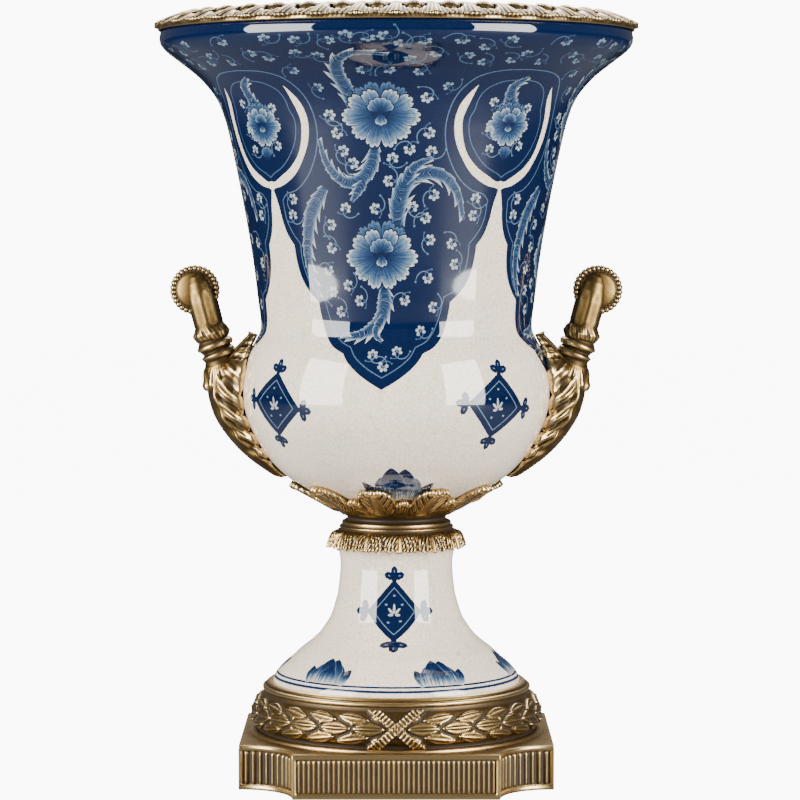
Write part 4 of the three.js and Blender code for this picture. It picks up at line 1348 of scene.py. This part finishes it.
# %% [markdown]
# ## Glaze, cobalt and crackle
# Under-glaze blue is a stain: where it lies twice as thick, light passes through it twice, so the
# colour deepens by Beer's law and is not a mix of blue and white. The crackle is a net of fine
# cracks in the glaze that has darkened with age. It could be an image, but that needs the surface
# laid flat and repeats. A voronoi texture's distance to its cell edges draws it in space, on any
# surface. It is a node group, so that another glaze can use it too.

# %% Node helpers
def nodes_of(name):
    """A new material, its node tree and its Principled node."""
    material = bpy.data.materials.new(name)
    material.use_nodes = True
    return material, material.node_tree, material.node_tree.nodes["Principled BSDF"]


def add(tree, kind, inputs=None, **settings):
    """Adds a node, sets its properties and fills or links its inputs."""
    node = tree.nodes.new(kind)
    for key, value in settings.items():
        setattr(node, key, value)
    for key, value in (inputs or {}).items():
        socket = node.inputs[key]
        if isinstance(value, bpy.types.NodeSocket):
            tree.links.new(value, socket)
        else:
            socket.default_value = value
    return node


def maths(tree, operation, a, b=0.0, clamp=False):
    """The output of a Math node on two numbers or sockets."""
    return add(tree, "ShaderNodeMath", {0: a, 1: b}, operation=operation, use_clamp=clamp).outputs[0]


def ramp(tree, factor, stops):
    """The colour of a ramp through stops of place and colour."""
    node = add(tree, "ShaderNodeValToRGB", {"Fac": factor})
    elements = node.color_ramp.elements
    while len(elements) < len(stops):
        elements.new(0.5)
    for element, (place, colour) in zip(elements, stops):
        element.position = place
        element.color = (*colour, 1)
    return node.outputs["Color"]


print("a new material's inputs:", len(nodes_of("spare")[2].inputs))
bpy.data.materials.remove(bpy.data.materials["spare"])

# %% Blends and groups
def blend(tree, factor, a, b, mode="MIX"):
    """Two colours mixed by a factor, or the first darkened by the second in MULTIPLY mode."""
    node = add(tree, "ShaderNodeMix", data_type="RGBA", blend_type=mode)
    for socket, value in ((node.inputs["Factor"], factor), (node.inputs[6], a), (node.inputs[7], b)):
        if isinstance(value, bpy.types.NodeSocket):
            tree.links.new(value, socket)
        else:
            socket.default_value = value if isinstance(value, (int, float)) else (*value, 1)
    return node.outputs[2]


def group(name, inputs, outputs):
    """An empty node group with number inputs and named outputs. Returns it, its input and output."""
    tree = bpy.data.node_groups.new(name, "ShaderNodeTree")
    for label, value in inputs:
        socket = tree.interface.new_socket(label, in_out="INPUT", socket_type="NodeSocketFloat")
        socket.default_value = value
    for label in outputs:
        tree.interface.new_socket(label, in_out="OUTPUT", socket_type="NodeSocketFloat")
    return tree, tree.nodes.new("NodeGroupInput"), tree.nodes.new("NodeGroupOutput")


spare = group("spare", [("In", 1.0)], ["Out"])[0]
print("a group has the sockets", [item.name for item in spare.interface.items_tree])
bpy.data.node_groups.remove(spare)

# %% Crackle group
CRACKLE_CELL = 3.0               # millimetres
CRACKLE_WIDTH = 0.1              # as a share of a cell
FINE_NET, FINE_STRENGTH = 1.9, 0.45        # a second net: cells per coarse cell, and how dark
crackle_tree, crackle_in, crackle_out = group(
    "crackle", [("Cell size", CRACKLE_CELL), ("Width", CRACKLE_WIDTH)], ["Lines", "Cloud"])
width = crackle_in.outputs["Width"]
place = add(crackle_tree, "ShaderNodeTexCoord").outputs["Object"]
scale = maths(crackle_tree, "DIVIDE", 1000.0, crackle_in.outputs["Cell size"])
wander = add(crackle_tree, "ShaderNodeTexNoise", {"Vector": place, "Scale": 160.0, "Detail": 2.0})
sway = add(crackle_tree, "ShaderNodeVectorMath",
           {0: wander.outputs["Color"], "Scale": 0.0009}, operation="SCALE").outputs[0]
moved = add(crackle_tree, "ShaderNodeVectorMath", {0: place, 1: sway}, operation="ADD").outputs[0]
coarse = add(crackle_tree, "ShaderNodeTexVoronoi", {"Vector": moved, "Scale": scale},
             feature="DISTANCE_TO_EDGE").outputs["Distance"]
fine_scale = maths(crackle_tree, "MULTIPLY", scale, FINE_NET)
fine = add(crackle_tree, "ShaderNodeTexVoronoi", {"Vector": moved, "Scale": fine_scale},
           feature="DISTANCE_TO_EDGE").outputs["Distance"]
strong = add(crackle_tree, "ShaderNodeMapRange",
             {"Value": coarse, "From Min": 0.0, "From Max": width,
              "To Min": 1.0, "To Max": 0.0}).outputs[0]
faint = add(crackle_tree, "ShaderNodeMapRange",
            {"Value": fine, "From Min": 0.0, "From Max": width,
             "To Min": FINE_STRENGTH, "To Max": 0.0}).outputs[0]
cloud = add(crackle_tree, "ShaderNodeTexNoise",
            {"Vector": place, "Scale": 22.0, "Detail": 5.0, "Roughness": 0.6}).outputs["Fac"]
crackle_tree.links.new(maths(crackle_tree, "MAXIMUM", strong, faint), crackle_out.inputs["Lines"])
crackle_tree.links.new(cloud, crackle_out.inputs["Cloud"])
print("the crackle group gives out", [socket.name for socket in crackle_out.inputs if socket.name])

# %% Colours of the glaze
WHITE = np.array([0.935, 0.81, 0.65])
COBALT = np.array([0.0012, 0.0075, 0.038])


def stained(bare):
    """White times the share of light that gets through: (cobalt / white) to the power of the
    paint's thickness, which is 0 on bare glaze and 1 in the deepest blue."""
    return tuple(WHITE * (COBALT / WHITE) ** ((1 - bare) ** 1.15))


BLUES = [(t, stained(t)) for t in (0.0, 0.12, 0.25, 0.4, 0.55, 0.7, 0.85, 1.0)]
print("half-strength blue:", [round(float(c), 3) for c in stained(0.5)])

# %% Porcelain material
def porcelain(name, crack_strength):
    """Clear gloss over cobalt and crackle. The paint's strength comes from the cut sheet."""
    material, tree, shader = nodes_of(name)
    tone = add(tree, "ShaderNodeAttribute", attribute_name="tone").outputs["Fac"]
    stripe = add(tree, "ShaderNodeAttribute", attribute_name="stripe").outputs["Fac"]
    streak = add(tree, "ShaderNodeAttribute", attribute_name="streak").outputs["Fac"]
    crackle = add(tree, "ShaderNodeGroup", node_tree=crackle_tree)
    comb = add(tree, "ShaderNodeTexNoise", {"W": stripe, "Scale": 0.95, "Detail": 2.0, "Roughness": 0.7},
               noise_dimensions="1D").outputs["Fac"]
    # Streaks swing the tone to both sides. A wash stops at 0.98, and only bare glaze goes above.
    hairs = maths(tree, "SUBTRACT", comb, 0.47)
    lift = maths(tree, "MULTIPLY", hairs, maths(tree, "MULTIPLY", streak, 5.0))
    pool = maths(tree, "MULTIPLY", maths(tree, "SUBTRACT", crackle.outputs["Cloud"], 0.5), 0.16)
    paint = maths(tree, "ADD", maths(tree, "ADD", tone, lift), pool)
    painted = maths(tree, "MINIMUM", paint, maths(tree, "GREATER_THAN", tone, 0.985))
    strength = maths(tree, "MAXIMUM", painted, maths(tree, "MINIMUM", paint, 0.98))
    colour = ramp(tree, strength, BLUES)
    aged = blend(tree, maths(tree, "MULTIPLY", crackle.outputs["Lines"], crack_strength), colour,
                 (0.36, 0.27, 0.19), "MULTIPLY")
    warm = blend(tree, maths(tree, "MULTIPLY", crackle.outputs["Cloud"], 0.35, clamp=True), aged,
                 (0.93, 0.86, 0.77), "MULTIPLY")
    tree.links.new(warm, shader.inputs["Base Color"])
    shader.inputs["Roughness"].default_value = 0.3
    shader.inputs["Specular IOR Level"].default_value = 0.0
    shader.inputs["Coat Weight"].default_value = 1.0
    shader.inputs["Coat IOR"].default_value = 1.65
    shader.inputs["Coat Roughness"].default_value = 0.035
    ripple = add(tree, "ShaderNodeBump",
                 {"Height": crackle.outputs["Lines"], "Strength": 0.05, "Distance": 0.0001})
    tree.links.new(ripple.outputs["Normal"], shader.inputs["Normal"])
    return material


glaze = porcelain("painted_glaze", 0.4)
bowl.data.materials.append(glaze)
foot_skin.data.materials.append(glaze)
print("the glaze is on", bowl.name, "and", foot_skin.name)

# %% [markdown]
# ## Old gilt bronze
# The mounts look gilt and show long wear: bright and smooth where hands and cloths rub, brown and dull
# where polish and dust collect. The colour also carries painted light: hollows are painted darker
# as painted shade and standing edges brighter as painted highlight, on top of that wear and dust.
# The wear could be painted on by hand. The pieces carry how far each point stands out, so one ramp
# from dark to bright is steered by that and by clouds of patina, and it stays right when a relief
# changes.

# %% Bronze material
# Colours from the brown of deep hollows, dust and painted shade, to the gold of rubbed edges and
# painted highlight.
GILT = [(0.0, (0.026, 0.015, 0.0055)), (0.25, (0.063, 0.037, 0.0125)),
        (0.5, (0.116, 0.071, 0.0225)), (0.75, (0.245, 0.155, 0.054)), (1.0, (0.60, 0.42, 0.19))]
bronze, tree, shader = nodes_of("gilt_bronze_wear_and_shade")
edge = add(tree, "ShaderNodeAttribute", attribute_name="edge").outputs["Fac"]
hollow = add(tree, "ShaderNodeAttribute", attribute_name="hollow").outputs["Fac"]
place = add(tree, "ShaderNodeTexCoord").outputs["Object"]
patches = add(tree, "ShaderNodeTexNoise",
              {"Vector": place, "Scale": 70.0, "Detail": 4.0, "Roughness": 0.6})
grain = add(tree, "ShaderNodeTexNoise", {"Vector": place, "Scale": 1300.0, "Detail": 3.0})
# Hollows pull the colour down and edges push it up: dust and rubbed wear, and also painted shade in the
# hollows and painted highlight on the edges.
relief = maths(tree, "ADD", maths(tree, "MULTIPLY", hollow, 1.3), maths(tree, "MULTIPLY", edge, 1.3))
cloudy = maths(tree, "MULTIPLY", maths(tree, "SUBTRACT", patches.outputs["Fac"], 0.5), 0.55)
speckle = maths(tree, "MULTIPLY", maths(tree, "SUBTRACT", grain.outputs["Fac"], 0.5), 0.22)
patina = maths(tree, "ADD", cloudy, speckle)
# The ramp's place: rubbed wear and dust, painted shade and painted highlight from the relief, and clouds
# of patina. It sets roughness and metal too.
wear_and_shading = maths(tree, "ADD", maths(tree, "ADD", relief, 0.5), patina, clamp=True)
tree.links.new(ramp(tree, wear_and_shading, GILT), shader.inputs["Base Color"])
dull = maths(tree, "SUBTRACT", 0.55, maths(tree, "MULTIPLY", wear_and_shading, 0.27))
tree.links.new(dull, shader.inputs["Roughness"])
bare = maths(tree, "ADD", maths(tree, "MULTIPLY", wear_and_shading, 1.6), 0.25, clamp=True)
tree.links.new(bare, shader.inputs["Metallic"])
chasing = add(tree, "ShaderNodeBump",
              {"Height": grain.outputs["Fac"], "Strength": 0.25, "Distance": 0.0003})
tree.links.new(chasing.outputs["Normal"], shader.inputs["Normal"])
for piece in bronze_pieces:
    piece.data.materials.append(bronze)
print("bronze pieces:", ", ".join(piece.name for piece in bronze_pieces))

# %% [markdown]
# ## Floor, light and camera
# The vase was photographed between two tall softboxes against white. Their mirror images are the
# upright bright panels on the glaze, so two tall area lights stand at the same angles, with a
# third behind and above. The white floor and background could be lit by more lamps, but they
# would show on the bronze, so both shine by themselves and only the camera sees that.

# %% Floor
FLOOR_GLOW = 10.0                # the white floor's own light, for the camera alone
FLOOR_HALF = 6                   # metres
FLOOR_GREY = 0.15                # dark enough to leave the blue's reflection clear
corners = [(x * FLOOR_HALF, y * FLOOR_HALF, 0) for x, y in ((-1, -1), (1, -1), (1, 1), (-1, 1))]
floor_mesh = bpy.data.meshes.new("floor")
floor_mesh.from_pydata(corners, [], [(0, 1, 2, 3)])
floor = bpy.data.objects.new("floor", floor_mesh)
bpy.context.scene.collection.objects.link(floor)
floor_material, floor_tree, floor_shader = nodes_of("pale_floor")
floor_shader.inputs["Base Color"].default_value = (FLOOR_GREY, FLOOR_GREY, FLOOR_GREY, 1)
floor_shader.inputs["Roughness"].default_value = 0.8
floor_shader.inputs["Emission Color"].default_value = (1, 1, 1, 1)
seen = add(floor_tree, "ShaderNodeLightPath").outputs["Is Camera Ray"]
glow = maths(floor_tree, "MULTIPLY", seen, FLOOR_GLOW)
floor_tree.links.new(glow, floor_shader.inputs["Emission Strength"])
floor_mesh.materials.append(floor_material)
print(f"the floor is {2 * FLOOR_HALF} m wide")

# %% Background
BACKDROP = 10.1                  # brightness of the white behind the vase, for the camera alone
AMBIENT = 0.12                   # what the vase receives from all around
world = bpy.data.worlds.new("studio")
world.use_nodes = True
bpy.context.scene.world = world
world_tree = world.node_tree
backdrop = world_tree.nodes["Background"]
seen = add(world_tree, "ShaderNodeLightPath").outputs["Is Camera Ray"]
level = maths(world_tree, "ADD", maths(world_tree, "MULTIPLY", seen, BACKDROP), AMBIENT)
world_tree.links.new(level, backdrop.inputs["Strength"])
backdrop.inputs["Color"].default_value = (1, 1, 1, 1)
print(f"the camera sees a background of {BACKDROP + AMBIENT:.2f}, the vase one of {AMBIENT}")

# %% Lights
def softbox(name, azimuth, distance, width, height, middle, power, aim):
    """An area light on a circle around the vase: at an azimuth from the front in degrees, with
    its middle at one height and turned towards a point of the vase's axis at another."""
    light = bpy.data.lights.new(name, "AREA")
    light.shape = "RECTANGLE"
    light.size, light.size_y, light.energy = width, height, power
    place = bpy.data.objects.new(name, light)
    bpy.context.scene.collection.objects.link(place)
    turn = math.radians(azimuth)
    place.location = (distance * math.sin(turn), -distance * math.cos(turn), middle)
    towards = Vector((0, 0, aim)) - place.location
    place.rotation_euler = towards.to_track_quat("-Z", "Y").to_euler()
    print(f"{name}: {width} by {height} m, {power} W")


softbox("softbox_left", -56, 1.3, 0.82, 1.0, 0.5, 44, 0.5)
softbox("softbox_right", 51, 1.3, 0.72, 1.0, 0.5, 42, 0.5)
softbox("softbox_behind", 180, 1.0, 1.5, 0.6, 1.3, 34, 0.45)

# %% Camera
LOOK_DOWN = 3.53                 # degrees
EYE = (0.0022, -1.925, 0.3475)   # metres: as far as the photo's perspective says
LENS, SENSOR = 142.2, 36         # millimetres
camera_data = bpy.data.cameras.new("camera")
camera_data.lens = LENS
camera_data.sensor_width = SENSOR
camera = bpy.data.objects.new("camera", camera_data)
bpy.context.scene.collection.objects.link(camera)
camera.location = EYE
camera.rotation_euler = (math.radians(90 - LOOK_DOWN), 0, 0)
bpy.context.scene.camera = camera
print(f"the camera is {-EYE[1]:.2f} m away and looks {LOOK_DOWN} degrees down")
